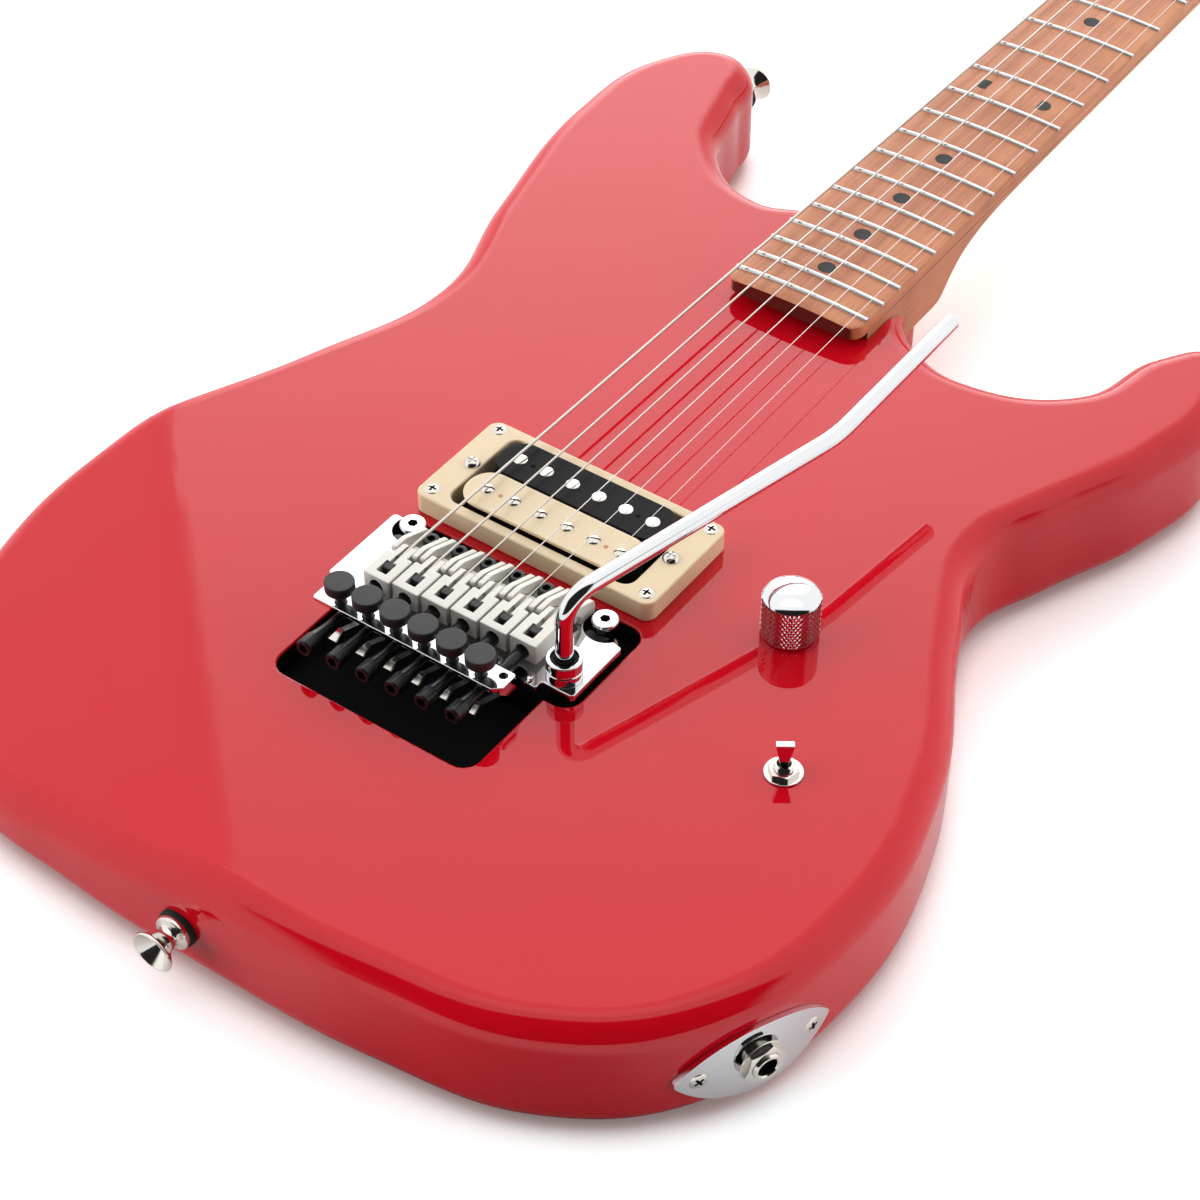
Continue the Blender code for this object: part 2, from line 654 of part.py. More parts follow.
def neck_plate_corners(side_gap):
    half_x, half_y = NECK_PLATE_SIZE[0] / 2 + side_gap, NECK_PLATE_SIZE[1] / 2 + side_gap
    centre_y = HEEL_Y + NECK_PLATE_SETBACK + NECK_PLATE_SIZE[1] / 2
    low = (NECK_PLATE_OFFSET_X - half_x, centre_y - half_y)
    high = (NECK_PLATE_OFFSET_X + half_x, centre_y + half_y)
    return low, high


def back_plate(corners, bottom, top):
    low, high = corners
    return box((*low, bottom), (*high, top), PLATE_CORNER)


def pickup_cavity_cutters():
    half_x = BASEPLATE_HALF_LENGTH + PICKUP_CAVITY_GAP
    half_y = BASEPLATE_HALF_WIDTH + PICKUP_CAVITY_GAP
    floor = TOP - PICKUP_CAVITY_DEPTH
    main = box((-half_x, RING_Y - half_y, floor), (half_x, RING_Y + half_y, TOP + OVERSHOOT))
    ear_x = HEIGHT_SCREW_X + HEIGHT_SCREW_HEAD_RADIUS
    ear_y = EAR_HALF_WIDTH + PICKUP_CAVITY_GAP
    ears = box((-ear_x, RING_Y - ear_y, floor - GAP), (ear_x, RING_Y + ear_y, TOP + OVERSHOOT))
    return main, ears


def make_body():
    body = slab(body_outline(), 0, BODY_THICKNESS, smooth=True, round_edge=EDGE_RADIUS)
    add_forearm_contour(body)
    part("body", body, "red_gloss")
    ledge = PLATE_THICKNESS + GAP
    cut(body, pocket_cutter(), *recess_cutters(), spring_cavity_cutter(), *pickup_cavity_cutters())
    cut(body, back_plate(spring_cover_corners(COVER_SIDE_GAP), -OVERSHOOT, ledge))
    cut(body, back_plate(neck_plate_corners(COVER_SIDE_GAP), -OVERSHOOT, ledge))
    cavity = in_metres(CONTROL_OUTLINE)
    cut(body, slab(cavity, -OVERSHOOT, CONTROL_CEILING, smooth=True))
    cut(body, slab(cavity, -OVERSHOOT, ledge, smooth=True, grow=COVER_LEDGE + COVER_SIDE_GAP))
    above, below = TOP + OVERSHOOT, CONTROL_CEILING - OVERSHOOT
    pot_hole = POT_BUSHING_RADIUS + GAP
    cut(body, rod((KNOB_X, KNOB_Y, below), (KNOB_X, KNOB_Y, above), pot_hole))
    toggle_hole = TOGGLE_BUSHING_RADIUS + GAP
    cut(body, rod((TOGGLE_X, TOGGLE_Y, below), (TOGGLE_X, TOGGLE_Y, above), toggle_hole))
    mouth = Vector((JACK_X, JACK_Y, JACK_Z))
    cut(body, rod(mouth + JACK_AXIS * 4 * OVERSHOOT, mouth - JACK_AXIS * JACK_BORE_DEPTH, JACK_BORE_RADIUS))
    for side in (-1, 1):
        place = Vector((side * STUD_HALF_SPACING, STUD_Y, RECESS_FLOOR + OVERSHOOT))
        depth = Vector((0, 0, STUD_DEPTH + OVERSHOOT))
        cut(body, rod(place, place - depth, STUD_NECK_RADIUS + GAP))
    return body


def neck_ring(y, left, right, top, depth, squareness):
    """A section of the neck: flat on top, with a rounded or nearly square underside."""
    points = []
    count = 14
    for i in range(count + 1):
        angle = math.pi * i / count
        across = math.copysign(abs(math.cos(angle)) ** (2 / squareness), math.cos(angle))
        down = math.sin(angle) ** (2 / squareness) if 0 < i < count else 0.0
        points.append(((left + right) / 2 + across * (right - left) / 2, y, top - depth * down))
    return points


def smooth_rows(rows, steps):
    """Rows on a smooth curve through the given rows."""
    made = []
    for i in range(len(rows) - 1):
        before, here = rows[max(i - 1, 0)], rows[i]
        there, after = rows[i + 1], rows[min(i + 2, len(rows) - 1)]
        for k in range(steps):
            t = k / steps
            row = []
            for a, b, c, d in zip(before, here, there, after):
                bend = (2 * a - 5 * b + 4 * c - d) * t**2 + (3 * b - a - 3 * c + d) * t**3
                row.append(b + ((c - a) * t + bend) / 2)
            made.append(tuple(row))
    made.append(tuple(rows[-1]))
    return made


def head_rows():
    """The headstock's edges, from the nut to the tip."""
    half = NUT_HALF_WIDTH
    rows = [(SCALE_LENGTH + y, left - half, right + half) for y, left, right in in_metres(THROAT)]
    for number, (left, right) in BLADE.items():
        x, y = post_place(number)
        rows.append((y, x + left * MM, x + right * MM))
    x, y = post_place(1)
    rows += [(y + reach, x + left, x + right) for reach, left, right in in_metres(TIP)]
    return rows


def make_neck():
    heel_end = HEEL_Y + HEEL_LENGTH
    nut_end = SCALE_LENGTH + NUT_LENGTH + GAP
    shaft = (
        (HEEL_Y, HEEL_DEPTH, 12.0),
        (heel_end, HEEL_DEPTH, 12.0),
        (heel_end + 8 * MM, HEEL_DEPTH - 0.7 * MM, 6.0),
        (heel_end + 20 * MM, SHAFT_DEPTH_HEEL + 0.6 * MM, 3.2),
        (heel_end + 36 * MM, SHAFT_DEPTH_HEEL, 2.3),
        (SCALE_LENGTH - 30 * MM, SHAFT_DEPTH_NUT, 2.3),
        (SCALE_LENGTH, SHAFT_DEPTH_NUT + 0.3 * MM, 2.6),
        (nut_end, HEAD_THICKNESS + NECK_TOP - HEAD_TOP, 4.0),
    )
    rings = []
    for y, depth, squareness in shaft:
        half = neck_half_width(min(y, SCALE_LENGTH))
        rings.append(neck_ring(y, -half, half, NECK_TOP, depth, squareness))
    for y, left, right in smooth_rows(head_rows(), 3):
        ramp = min(1.0, max(0.0, (y - nut_end) / (8 * MM)))
        top = NECK_TOP + (HEAD_TOP - NECK_TOP) * ramp
        rings.append(neck_ring(y, left, right, top, top - HEAD_BOTTOM, 4.0 + 12.0 * ramp))
    neck = part("neck", loft(rings), "roasted_maple")
    truss_low, truss_high = truss_rod_corners(GAP)
    truss_high = (truss_high[0], truss_high[1], NECK_TOP + OVERSHOOT)
    cut(neck, box(truss_low, truss_high))
    for number in range(1, STRING_COUNT + 1):
        x, y = post_place(number)
        low, high = (x, y, HEAD_BOTTOM - OVERSHOOT), (x, y, HEAD_TOP + OVERSHOOT)
        cut(neck, rod(low, high, POST_RADIUS + GAP, sides=12))
    return neck


def truss_rod_corners(side_gap):
    half = TRUSS_WIDTH / 2 + side_gap
    rear = HEEL_Y + TRUSS_INSET - side_gap
    front = SCALE_LENGTH - TRUSS_INSET + side_gap
    top = NECK_TOP - GAP
    return (-half, rear, top - TRUSS_HEIGHT - side_gap), (half, front, top)


def make_fretboard():
    """One strip with its frets: the top rises to each fret's crown and falls again."""
    sections = [
        (BOARD_END_Y, -BOARD_CORNER, 0.0),
        (BOARD_END_Y + BOARD_CORNER / 3, -BOARD_CORNER / 3, 0.0),
        (BOARD_END_Y + BOARD_CORNER, 0.0, 0.0),
    ]
    for number in range(FRET_COUNT, 0, -1):
        middle = fret_y(number)
        for offset, height in ((-FRET_WIDTH, 0), (-FRET_TOP_WIDTH, 1), (FRET_TOP_WIDTH, 1), (FRET_WIDTH, 0)):
            sections.append((middle + offset / 2, 0.0, height * FRET_HEIGHT))
    sections.append((SCALE_LENGTH - GAP, 0.0, 0.0))
    bottom = TOP + BOARD_LIFT
    top_points = 5
    rings = []
    for y, narrower, raised in sections:
        half = neck_half_width(y)
        edge = half + narrower
        ring = [(edge, y, bottom), (-edge, y, bottom)]
        for i in range(top_points):
            x = -edge + 2 * edge * i / (top_points - 1)
            ring.append((x, y, BOARD_EDGE + crown(x, half) + raised))
        rings.append(ring)
    return part("fretboard", loft(rings), "roasted_maple")


def make_neck_hardware():
    part("truss_rod", box(*truss_rod_corners(0.0)), "zinc")
    part("neck_plate", back_plate(neck_plate_corners(0.0), 0, PLATE_THICKNESS), "chrome")
    half = NUT_HALF_WIDTH
    nut = box((-half, SCALE_LENGTH, NECK_TOP + GAP), (half, SCALE_LENGTH + NUT_LENGTH, TOP + NUT_TOP_LIFT))
    part("locking_nut", nut, "black_steel")


def post_place(number):
    """Centre of a tuner post: its string runs along its treble side."""
    y = SCALE_LENGTH + TUNER_FIRST + (STRING_COUNT - number) * TUNER_PITCH
    return string_x(number, y) - POST_RADIUS - GAP - STRING_DIAMETERS[number - 1] / 2, y


def tuner_directions():
    """Unit vectors along the row of posts and out to the buttons."""
    first, last = Vector(post_place(STRING_COUNT)), Vector(post_place(1))
    along = (last - first).normalized()
    return Vector((*along, 0)), Vector((-along.y, along.x, 0))


def make_tuners():
    along, outward = tuner_directions()
    strip_top = HEAD_BOTTOM - GAP
    worm_z = strip_top - TUNER_STRIP_THICKNESS - HOUSING_SIZE[2] / 2
    turn = Matrix((along, outward, Vector((0, 0, 1)))).transposed().to_quaternion()
    first, last = Vector((*post_place(STRING_COUNT), 0)), Vector((*post_place(1), 0))
    reach = (last - first).length / 2 + HOUSING_SIZE[0] / 2
    strip = box(
        (-reach, -TUNER_STRIP_WIDTH / 2, -TUNER_STRIP_THICKNESS),
        (reach, TUNER_STRIP_WIDTH / 2, 0),
        PLATE_CORNER,
    )
    strip.rotation_mode = "QUATERNION"
    strip.rotation_quaternion = turn
    strip.location = (first + last) / 2 + Vector((0, 0, strip_top - TUNER_STRIP_THICKNESS / 2))
    part("tuner_plate", strip, "chrome")
    for number in range(STRING_COUNT, 0, -1):
        place = Vector((*post_place(number), 0))
        housing = box(
            (-HOUSING_SIZE[0] / 2, -HOUSING_SIZE[1] / 2, 0),
            (HOUSING_SIZE[0] / 2, HOUSING_SIZE[1] / 2, HOUSING_SIZE[2]),
        )
        housing.rotation_mode = "QUATERNION"
        housing.rotation_quaternion = turn
        overlap = TUNER_STRIP_THICKNESS / 2
        housing.location = place + Vector((0, 0, worm_z + overlap))
        join(strip, housing)
    for number in range(STRING_COUNT, 0, -1):
        place = Vector((*post_place(number), 0))
        seat_floor = Vector((0, 0, strip_top - POST_SEAT))
        cut(strip, rod(place + seat_floor, place + Vector((0, 0, HEAD_TOP)), POST_RADIUS + GAP, sides=12))
        worm_start = place + outward * (HOUSING_SIZE[1] / 2 - WORM_SEAT) + Vector((0, 0, worm_z))
        worm_mouth = place + outward * (HOUSING_SIZE[1] / 2 + OVERSHOOT) + Vector((0, 0, worm_z))
        cut(strip, rod(worm_start, worm_mouth, WORM_RADIUS + GAP, sides=10))
        make_tuner_post(number, place, strip_top)
        make_tuner_button(number, worm_start, outward, turn)


def make_tuner_post(number, place, strip_top):
    bottom = strip_top - POST_SEAT + GAP
    top = HEAD_TOP + POST_HEIGHT
    waist = TOP + STRING_POST_LIFT
    flare = POST_RADIUS + 0.8 * MM
    profile = [
        (0, top), (POST_RADIUS, top), (POST_RADIUS, waist - 3 * MM), (flare, HEAD_TOP + 1.5 * MM),
        (flare, HEAD_TOP + GAP), (POST_RADIUS, HEAD_TOP + GAP), (POST_RADIUS, bottom), (0, bottom),
    ]
    part(f"tuner_post_{number}", turned(profile, place, steps=16), "chrome")


def make_tuner_button(number, worm_start, outward, turn):
    start = worm_start + outward * GAP
    end = worm_start + outward * (BUTTON_REACH - HOUSING_SIZE[1] / 2 + WORM_SEAT)
    shaft = rod(start, end, WORM_RADIUS, sides=10)
    shaft.data.transform(Matrix.LocRotScale(shaft.location, shaft.rotation_quaternion, None))
    shaft.rotation_quaternion = (1, 0, 0, 0)
    shaft.location = (0, 0, 0)
    set_origin(shaft, start)
    bm = bmesh.new()
    bmesh.ops.create_cube(bm, size=1)
    bmesh.ops.scale(bm, vec=(BUTTON_SIZE[0], BUTTON_SIZE[1], BUTTON_SIZE[2]), verts=bm.verts)
    bmesh.ops.bevel(bm, geom=bm.edges[:], offset=BUTTON_ROUND, segments=2, profile=0.5, affect="EDGES")
    head = object_from(bm, end + outward * (BUTTON_SIZE[1] / 2 - OVERSHOOT))
    head.rotation_mode = "QUATERNION"
    head.rotation_quaternion = turn
    part(f"tuner_button_{number}", shaft, "chrome")
    join(shaft, head)


def make_covers():
    part("spring_cover", back_plate(spring_cover_corners(0.0), 0, PLATE_THICKNESS), "black_plastic")
    cover = slab(in_metres(CONTROL_OUTLINE), 0, PLATE_THICKNESS, smooth=True, grow=COVER_LEDGE)
    part("control_cover", cover, "black_plastic")


def strap_button(name, place, axis):
    rim = STRAP_HEAD_RADIUS - STRAP_RIM
    profile = [
        (0, STRAP_LENGTH - STRAP_DISH), (rim, STRAP_LENGTH), (STRAP_HEAD_RADIUS, STRAP_LENGTH),
        (STRAP_HEAD_RADIUS, STRAP_LENGTH - 1.2 * MM), (STRAP_NECK_RADIUS, STRAP_LENGTH - 5 * MM),
        (STRAP_NECK_RADIUS, 3.5 * MM), (STRAP_BASE_RADIUS, 2.2 * MM), (STRAP_BASE_RADIUS, 0), (0, 0),
    ]
    part(name, turned(profile, place, axis), "satin_nickel")


def make_strap_buttons():
    tail_y = TREBLE_LOWER[0][1] * MM
    strap_button("strap_button_tail", (BUTTON_TAIL_X, tail_y - GAP, STRAP_BUTTON_Z), (0, -1, 0))
    horn_y = HEEL_Y + HORN_TIP[1] * MM
    strap_button("strap_button_horn", (HORN_TIP[0] * MM, horn_y + GAP, STRAP_BUTTON_Z), (0, 1, 0))


def make_pickup():
    low = (-RING_HALF_LENGTH, RING_Y - RING_HALF_WIDTH, TOP + GAP)
    high = (RING_HALF_LENGTH, RING_Y + RING_HALF_WIDTH, TOP + RING_HEIGHT)
    ring = part("pickup_ring", box(low, high, RING_CORNER), "cream_plastic")
    hole_x, hole_y = RING_HOLE_HALF_LENGTH, RING_HOLE_HALF_WIDTH
    hole_low = (-hole_x, RING_Y - hole_y, TOP - OVERSHOOT)
    hole_high = (hole_x, RING_Y + hole_y, TOP + 2 * RING_HEIGHT)
    cut(ring, box(hole_low, hole_high, RING_CORNER))
    bobbin_bottom = TOP + BOBBIN_TOP_LIFT - BOBBIN_HEIGHT
    for name, side, finish in (("slug_bobbin", 1, "black_plastic"), ("screw_bobbin", -1, "cream_plastic")):
        middle = RING_Y + side * BOBBIN_HALF_PITCH
        half_y = BOBBIN_WIDTH / 2
        bobbin = box(
            (-BOBBIN_HALF_LENGTH, middle - half_y, bobbin_bottom),
            (BOBBIN_HALF_LENGTH, middle + half_y, TOP + BOBBIN_TOP_LIFT),
            RING_CORNER,
        )
        part(name, bobbin, finish)
    plate_top = bobbin_bottom - GAP
    plate_bottom = plate_top - BASEPLATE_THICKNESS
    half_x, half_y = BASEPLATE_HALF_LENGTH, BASEPLATE_HALF_WIDTH
    base = box((-half_x, RING_Y - half_y, plate_bottom), (half_x, RING_Y + half_y, plate_top))
    part("pickup_baseplate", base, "zinc")
    ear_x = HEIGHT_SCREW_X + HEIGHT_SCREW_RADIUS
    ear_low, ear_high = plate_bottom + 0.2 * MM, plate_top - 0.2 * MM
    join(base, box((-ear_x, RING_Y - EAR_HALF_WIDTH, ear_low), (ear_x, RING_Y + EAR_HALF_WIDTH, ear_high)))
    for side in (-1, 1):
        x = side * HEIGHT_SCREW_X
        hole_low, hole_high = (x, RING_Y, TOP - OVERSHOOT), (x, RING_Y, TOP + 2 * RING_HEIGHT)
        cut(ring, rod(hole_low, hole_high, HEIGHT_SCREW_RADIUS + GAP, sides=12))
        head_low = TOP + RING_HEIGHT + GAP
        head_top = head_low + HEIGHT_SCREW_HEAD
        stem_low = plate_bottom - OVERSHOOT
        screw = [
            (0, head_top), (HEIGHT_SCREW_HEAD_RADIUS * 0.7, head_top),
            (HEIGHT_SCREW_HEAD_RADIUS, (head_top + head_low) / 2), (HEIGHT_SCREW_HEAD_RADIUS, head_low),
            (HEIGHT_SCREW_RADIUS, head_low), (HEIGHT_SCREW_RADIUS, stem_low), (0, stem_low),
        ]
        join(base, turned(screw, (x, RING_Y, 0), steps=12))


def make_volume_control():
    can_top = CONTROL_CEILING - GAP
    shaft_top = TOP + POT_SHAFT_LIFT
    bushing_top = TOP + POT_BUSHING_LIFT
    pot = [
        (0, shaft_top), (POT_SHAFT_RADIUS, shaft_top), (POT_SHAFT_RADIUS, bushing_top),
        (POT_BUSHING_RADIUS, bushing_top), (POT_BUSHING_RADIUS, can_top), (POT_RADIUS, can_top),
        (POT_RADIUS, can_top - POT_HEIGHT), (0, can_top - POT_HEIGHT),
    ]
    part("volume_pot", turned(pot, (KNOB_X, KNOB_Y, 0)), "zinc")
    bottom = TOP + KNOB_LIFT
    top = bottom + KNOB_HEIGHT
    bore = POT_SHAFT_RADIUS + GAP
    counterbore = POT_BUSHING_RADIUS + 4 * GAP
    angles = (0.0, 0.5, 0.9, 1.25, math.pi / 2)
    dome = [(KNOB_RADIUS * math.sin(angle), top - KNOB_DOME * (1 - math.cos(angle))) for angle in angles]
    knob = [
        *dome, (KNOB_RADIUS, bottom), (counterbore, bottom), (counterbore, bushing_top + GAP),
        (bore, bushing_top + GAP), (bore, shaft_top + GAP), (0, shaft_top + GAP),
    ]
    part("volume_knob", turned(knob, (KNOB_X, KNOB_Y, 0)), "chrome")


def make_toggle():
    top = TOP + TOGGLE_BUSHING_LIFT
    can_top = CONTROL_CEILING - GAP
    nut_low, nut_high = TOP + GAP, TOP + GAP + TOGGLE_NUT_HEIGHT
    bore_floor = TOP + TOGGLE_PIVOT_LIFT - LEVER_WIDTH / 2 - GAP
    low = can_top - OVERSHOOT
    profile = [
        (0, bore_floor), (TOGGLE_BORE_RADIUS, bore_floor), (TOGGLE_BORE_RADIUS, top),
        (TOGGLE_BUSHING_RADIUS, top), (TOGGLE_BUSHING_RADIUS, nut_high), (TOGGLE_NUT_RADIUS, nut_high),
        (TOGGLE_NUT_RADIUS, nut_low), (TOGGLE_BUSHING_RADIUS, nut_low), (TOGGLE_BUSHING_RADIUS, low),
        (0, low),
    ]
    switch = part("toggle_switch", turned(profile, (TOGGLE_X, TOGGLE_Y, 0), steps=18), "zinc")
    half_x, half_y = TOGGLE_BODY[0] / 2, TOGGLE_BODY[1] / 2
    can = box((-half_x, -half_y, 0), (half_x, half_y, TOGGLE_BODY[2]))
    can.location = (TOGGLE_X, TOGGLE_Y, can_top - TOGGLE_BODY[2] / 2)
    can.rotation_euler.z = TOGGLE_TURN
    join(switch, can)
    stem, flare = LEVER_WIDTH / 2, LEVER_FLARE / 2
    length = LEVER_LIFT - TOGGLE_PIVOT_LIFT
    clear = TOGGLE_BUSHING_LIFT - TOGGLE_PIVOT_LIFT
    outline = [
        (-stem, -stem), (stem, -stem), (stem, clear), (flare, length), (-flare, length), (-stem, clear),
    ]
    lever = slab(outline, -LEVER_WIDTH / 2, LEVER_WIDTH / 2)
    lever.rotation_euler = (math.pi / 2, 0, TOGGLE_TURN)
    lever.location = (TOGGLE_X, TOGGLE_Y, TOP + TOGGLE_PIVOT_LIFT)
    part("toggle_lever", lever, "chrome")


def make_jack():
    place = Vector((JACK_X, JACK_Y, JACK_Z))
    nut_low = JACK_PLATE_THICKNESS + 2 * GAP
    nut_high = nut_low + JACK_NUT_HEIGHT
    face = nut_high + 1.0 * MM
    socket_floor = face - JACK_SOCKET_DEPTH
    body_top = -2.0 * MM
    body_low = body_top - JACK_BODY_LENGTH
    profile = [
        (0, socket_floor), (JACK_SOCKET_RADIUS, socket_floor), (JACK_SOCKET_RADIUS, face),
        (JACK_BARREL_RADIUS, face), (JACK_BARREL_RADIUS, nut_high), (JACK_NUT_RADIUS, nut_high),
        (JACK_NUT_RADIUS, nut_low), (JACK_BARREL_RADIUS, nut_low), (JACK_BARREL_RADIUS, body_top),
        (JACK_BODY_RADIUS, body_top), (JACK_BODY_RADIUS, body_low), (0, body_low),
    ]
    part("output_jack", turned(profile, place, JACK_AXIS, steps=18), "chrome")
    low, high = JACK_Z - 2 * JACK_PLATE_HALF_HEIGHT, JACK_Z + 2 * JACK_PLATE_HALF_HEIGHT
    plate = slab(body_outline(), low, high, smooth=True, grow=GAP + JACK_PLATE_THICKNESS)
    part("jack_plate", plate, "chrome")
    cut(plate, slab(body_outline(), low - OVERSHOOT, high + OVERSHOOT, smooth=True, grow=GAP))
    combine(plate, jack_plate_stencil(place), "INTERSECT")
    reach = JACK_AXIS * 5 * OVERSHOOT
    cut(plate, rod(place - reach, place + reach, JACK_BARREL_RADIUS + GAP, sides=20))


def jack_plate_stencil(place):
    """A lens of two arcs, standing on the body's side."""
    half_length, half_height = JACK_PLATE_HALF_LENGTH, JACK_PLATE_HALF_HEIGHT
    radius = (half_length**2 + half_height**2) / (2 * half_height)
    half_angle = math.asin(half_length / radius)
    count = 10
    points = []
    for side in (1, -1):
        for i in range(count):
            angle = half_angle * (1 - 2 * i / count) * side
            rise = radius * math.cos(angle) - radius + half_height
            points.append((radius * math.sin(angle), side * rise))
    depth = 6 * OVERSHOOT
    stencil = slab(points, -depth / 2, depth / 2)
    stencil.rotation_euler = (math.pi / 2, 0, JACK_ANGLE + math.pi / 2)
    stencil.location = place
    return stencil


def make_bridge(frame):
    """Base plate with the raised rear shelf that carries the fine tuners."""
    half = BRIDGE_PLATE_HALF_WIDTH
    plate = box(
        (-half, BRIDGE_PLATE_REAR, PLATE_BOTTOM), (half, BRIDGE_PLATE_FRONT, PLATE_TOP), BRIDGE_PLATE_CORNER
    )
    part("bridge_plate", plate, "chrome")
    tail_half = BRIDGE_TAIL_HALF_WIDTH
    tail_low, tail_high = PLATE_BOTTOM + 0.1 * MM, PLATE_TOP - 0.1 * MM
    tail_front = BRIDGE_PLATE_REAR + OVERSHOOT
    tail = box((-tail_half, BRIDGE_TAIL_REAR, tail_low), (tail_half, tail_front, tail_high))
    shelf = box(
        (SHELF_BASS_END, SHELF_REAR, SHELF_TOP - SHELF_THICKNESS), (SHELF_TREBLE_END, SHELF_FRONT, SHELF_TOP)
    )
    cheek_low, cheek_high = PLATE_BOTTOM + SHELF_LIP, SHELF_TOP - SHELF_LIP
    cheek_rear = SHELF_REAR + SHELF_LIP
    bass_outer = CHEEK_INNER_BASS - CHEEK_THICKNESS
    treble_outer = CHEEK_INNER_TREBLE + CHEEK_THICKNESS
    bass_cheek = box((bass_outer, cheek_rear, cheek_low), (CHEEK_INNER_BASS, CHEEK_FRONT, cheek_high))
    treble_cheek = box((CHEEK_INNER_TREBLE, cheek_rear, cheek_low), (treble_outer, CHEEK_FRONT, cheek_high))
    join(plate, tail, shelf, bass_cheek, treble_cheek)
    notch = STUD_NECK_RADIUS + STUD_NOTCH_GAP
    for side in (-1, 1):
        x = side * STUD_HALF_SPACING
        low, high = PLATE_BOTTOM - OVERSHOOT, PLATE_TOP + OVERSHOOT
        cut(plate, rod((x, STUD_Y, low), (x, STUD_Y, high), notch))
        mouth = BRIDGE_PLATE_FRONT + OVERSHOOT
        cut(plate, box((x - notch, STUD_Y, low - GAP), (x + notch, mouth, high + GAP)))
    for number in range(1, STRING_COUNT + 1):
        x = string_x(number, 0)
        low, high = SHELF_TOP - SHELF_THICKNESS - OVERSHOOT, SHELF_TOP + OVERSHOOT
        cut(plate, rod((x, FINE_TUNER_Y, low), (x, FINE_TUNER_Y, high), FINE_STEM_RADIUS + GAP, sides=12))
    block = box(
        (-BLOCK_HALF_WIDTH, BLOCK_REAR, BLOCK_BOTTOM), (BLOCK_HALF_WIDTH, BLOCK_FRONT, PLATE_BOTTOM - GAP)
    )
    part("sustain_block", block, "zinc")
    carry(frame, plate, block)


def lock_screw_lift(y):
    """Height of a lock screw's axis above the body's top."""
    return LOCK_SCREW_REAR_LIFT + LOCK_SCREW_FALL * (y - LOCK_SCREW_REAR)


def make_saddle(number, frame):
    """String clamp block with a front foot on the plate and a lock screw out of its rear."""
    x = string_x(number, 0)
    foot = PLATE_TOP + GAP
    underside = foot + SADDLE_FOOT_RISE
    top = TOP + SADDLE_TOP_LIFT
    outline = [
        (SADDLE_REAR, underside), (SADDLE_FOOT_REAR, underside), (SADDLE_FOOT_REAR, foot),
        (SADDLE_FRONT, foot), (SADDLE_FRONT, foot + 1.6 * MM), (SADDLE_FRONT - 5 * MM, top - 3.2 * MM),
        (SADDLE_BLOCK_FRONT, top - 2.4 * MM), (SADDLE_BLOCK_FRONT, top), (SADDLE_REAR, top),
    ]
    saddle = slab(outline, -SADDLE_WIDTH / 2, SADDLE_WIDTH / 2)
    saddle.data.transform(Matrix(((0, 0, 1, 0), (1, 0, 0, 0), (0, 1, 0, 0), (0, 0, 0, 1))))
    saddle.location = (x, 0, 0)
    set_origin(saddle, (x, SADDLE_PIVOT_Y, foot))
    part(f"saddle_{number}", saddle, "satin_nickel")
    neck_y = LOCK_SCREW_REAR + LOCK_HEAD_LENGTH
    inside = SADDLE_REAR + OVERSHOOT
    stem = rod(
        (x, LOCK_SCREW_REAR + OVERSHOOT, TOP + lock_screw_lift(LOCK_SCREW_REAR + OVERSHOOT)),
        (x, inside, TOP + lock_screw_lift(inside)),
        LOCK_SCREW_RADIUS,
        sides=10,
    )
    head = rod(
        (x, LOCK_SCREW_REAR, TOP + lock_screw_lift(LOCK_SCREW_REAR)),
        (x, neck_y, TOP + lock_screw_lift(neck_y)),
        LOCK_HEAD_RADIUS,
        sides=10,
    )
    join(saddle, stem, head)
    carry(frame, saddle)


def make_fine_tuner(number, frame):
    x = string_x(number, 0)
    head_top = SHELF_TOP + FINE_HEAD_LIFT
    head_low = head_top - FINE_HEAD_HEIGHT
    tip = TOP + lock_screw_lift(FINE_TUNER_Y) + LOCK_SCREW_RADIUS + 1.5 * GAP
    chamfer = 0.6 * MM
    profile = [
        (0, head_top), (FINE_HEAD_RADIUS - chamfer, head_top), (FINE_HEAD_RADIUS, head_top - chamfer),
        (FINE_HEAD_RADIUS, head_low), (FINE_STEM_RADIUS, head_low), (FINE_STEM_RADIUS, tip), (0, tip),
    ]
    tuner = turned(profile, (x, FINE_TUNER_Y, 0), steps=16)
    part(f"fine_tuner_{number}", tuner, "black_steel")
    carry(frame, tuner)


def make_arm(frame):
    foot = PLATE_TOP + GAP
    relative = [(0, 0, foot - TOP), (0, 0, ARM_POST_LIFT), *in_metres(ARM_ELBOW), *in_metres(ARM_REACH)]
    arm = wire(relative, ARM_RADIUS)
    arm.location = (ARM_X, ARM_Y, TOP)
    part("tremolo_arm", arm, "chrome")
    bore = ARM_RADIUS + GAP
    top = foot + COLLAR_HEIGHT
    collar = rod((ARM_X, ARM_Y, foot), (ARM_X, ARM_Y, top), COLLAR_RADIUS, sides=20)
    part("arm_collar", collar, "chrome")
    cut(collar, rod((ARM_X, ARM_Y, foot - OVERSHOOT), (ARM_X, ARM_Y, top + OVERSHOOT), bore, sides=20))
    carry(frame, arm, collar)


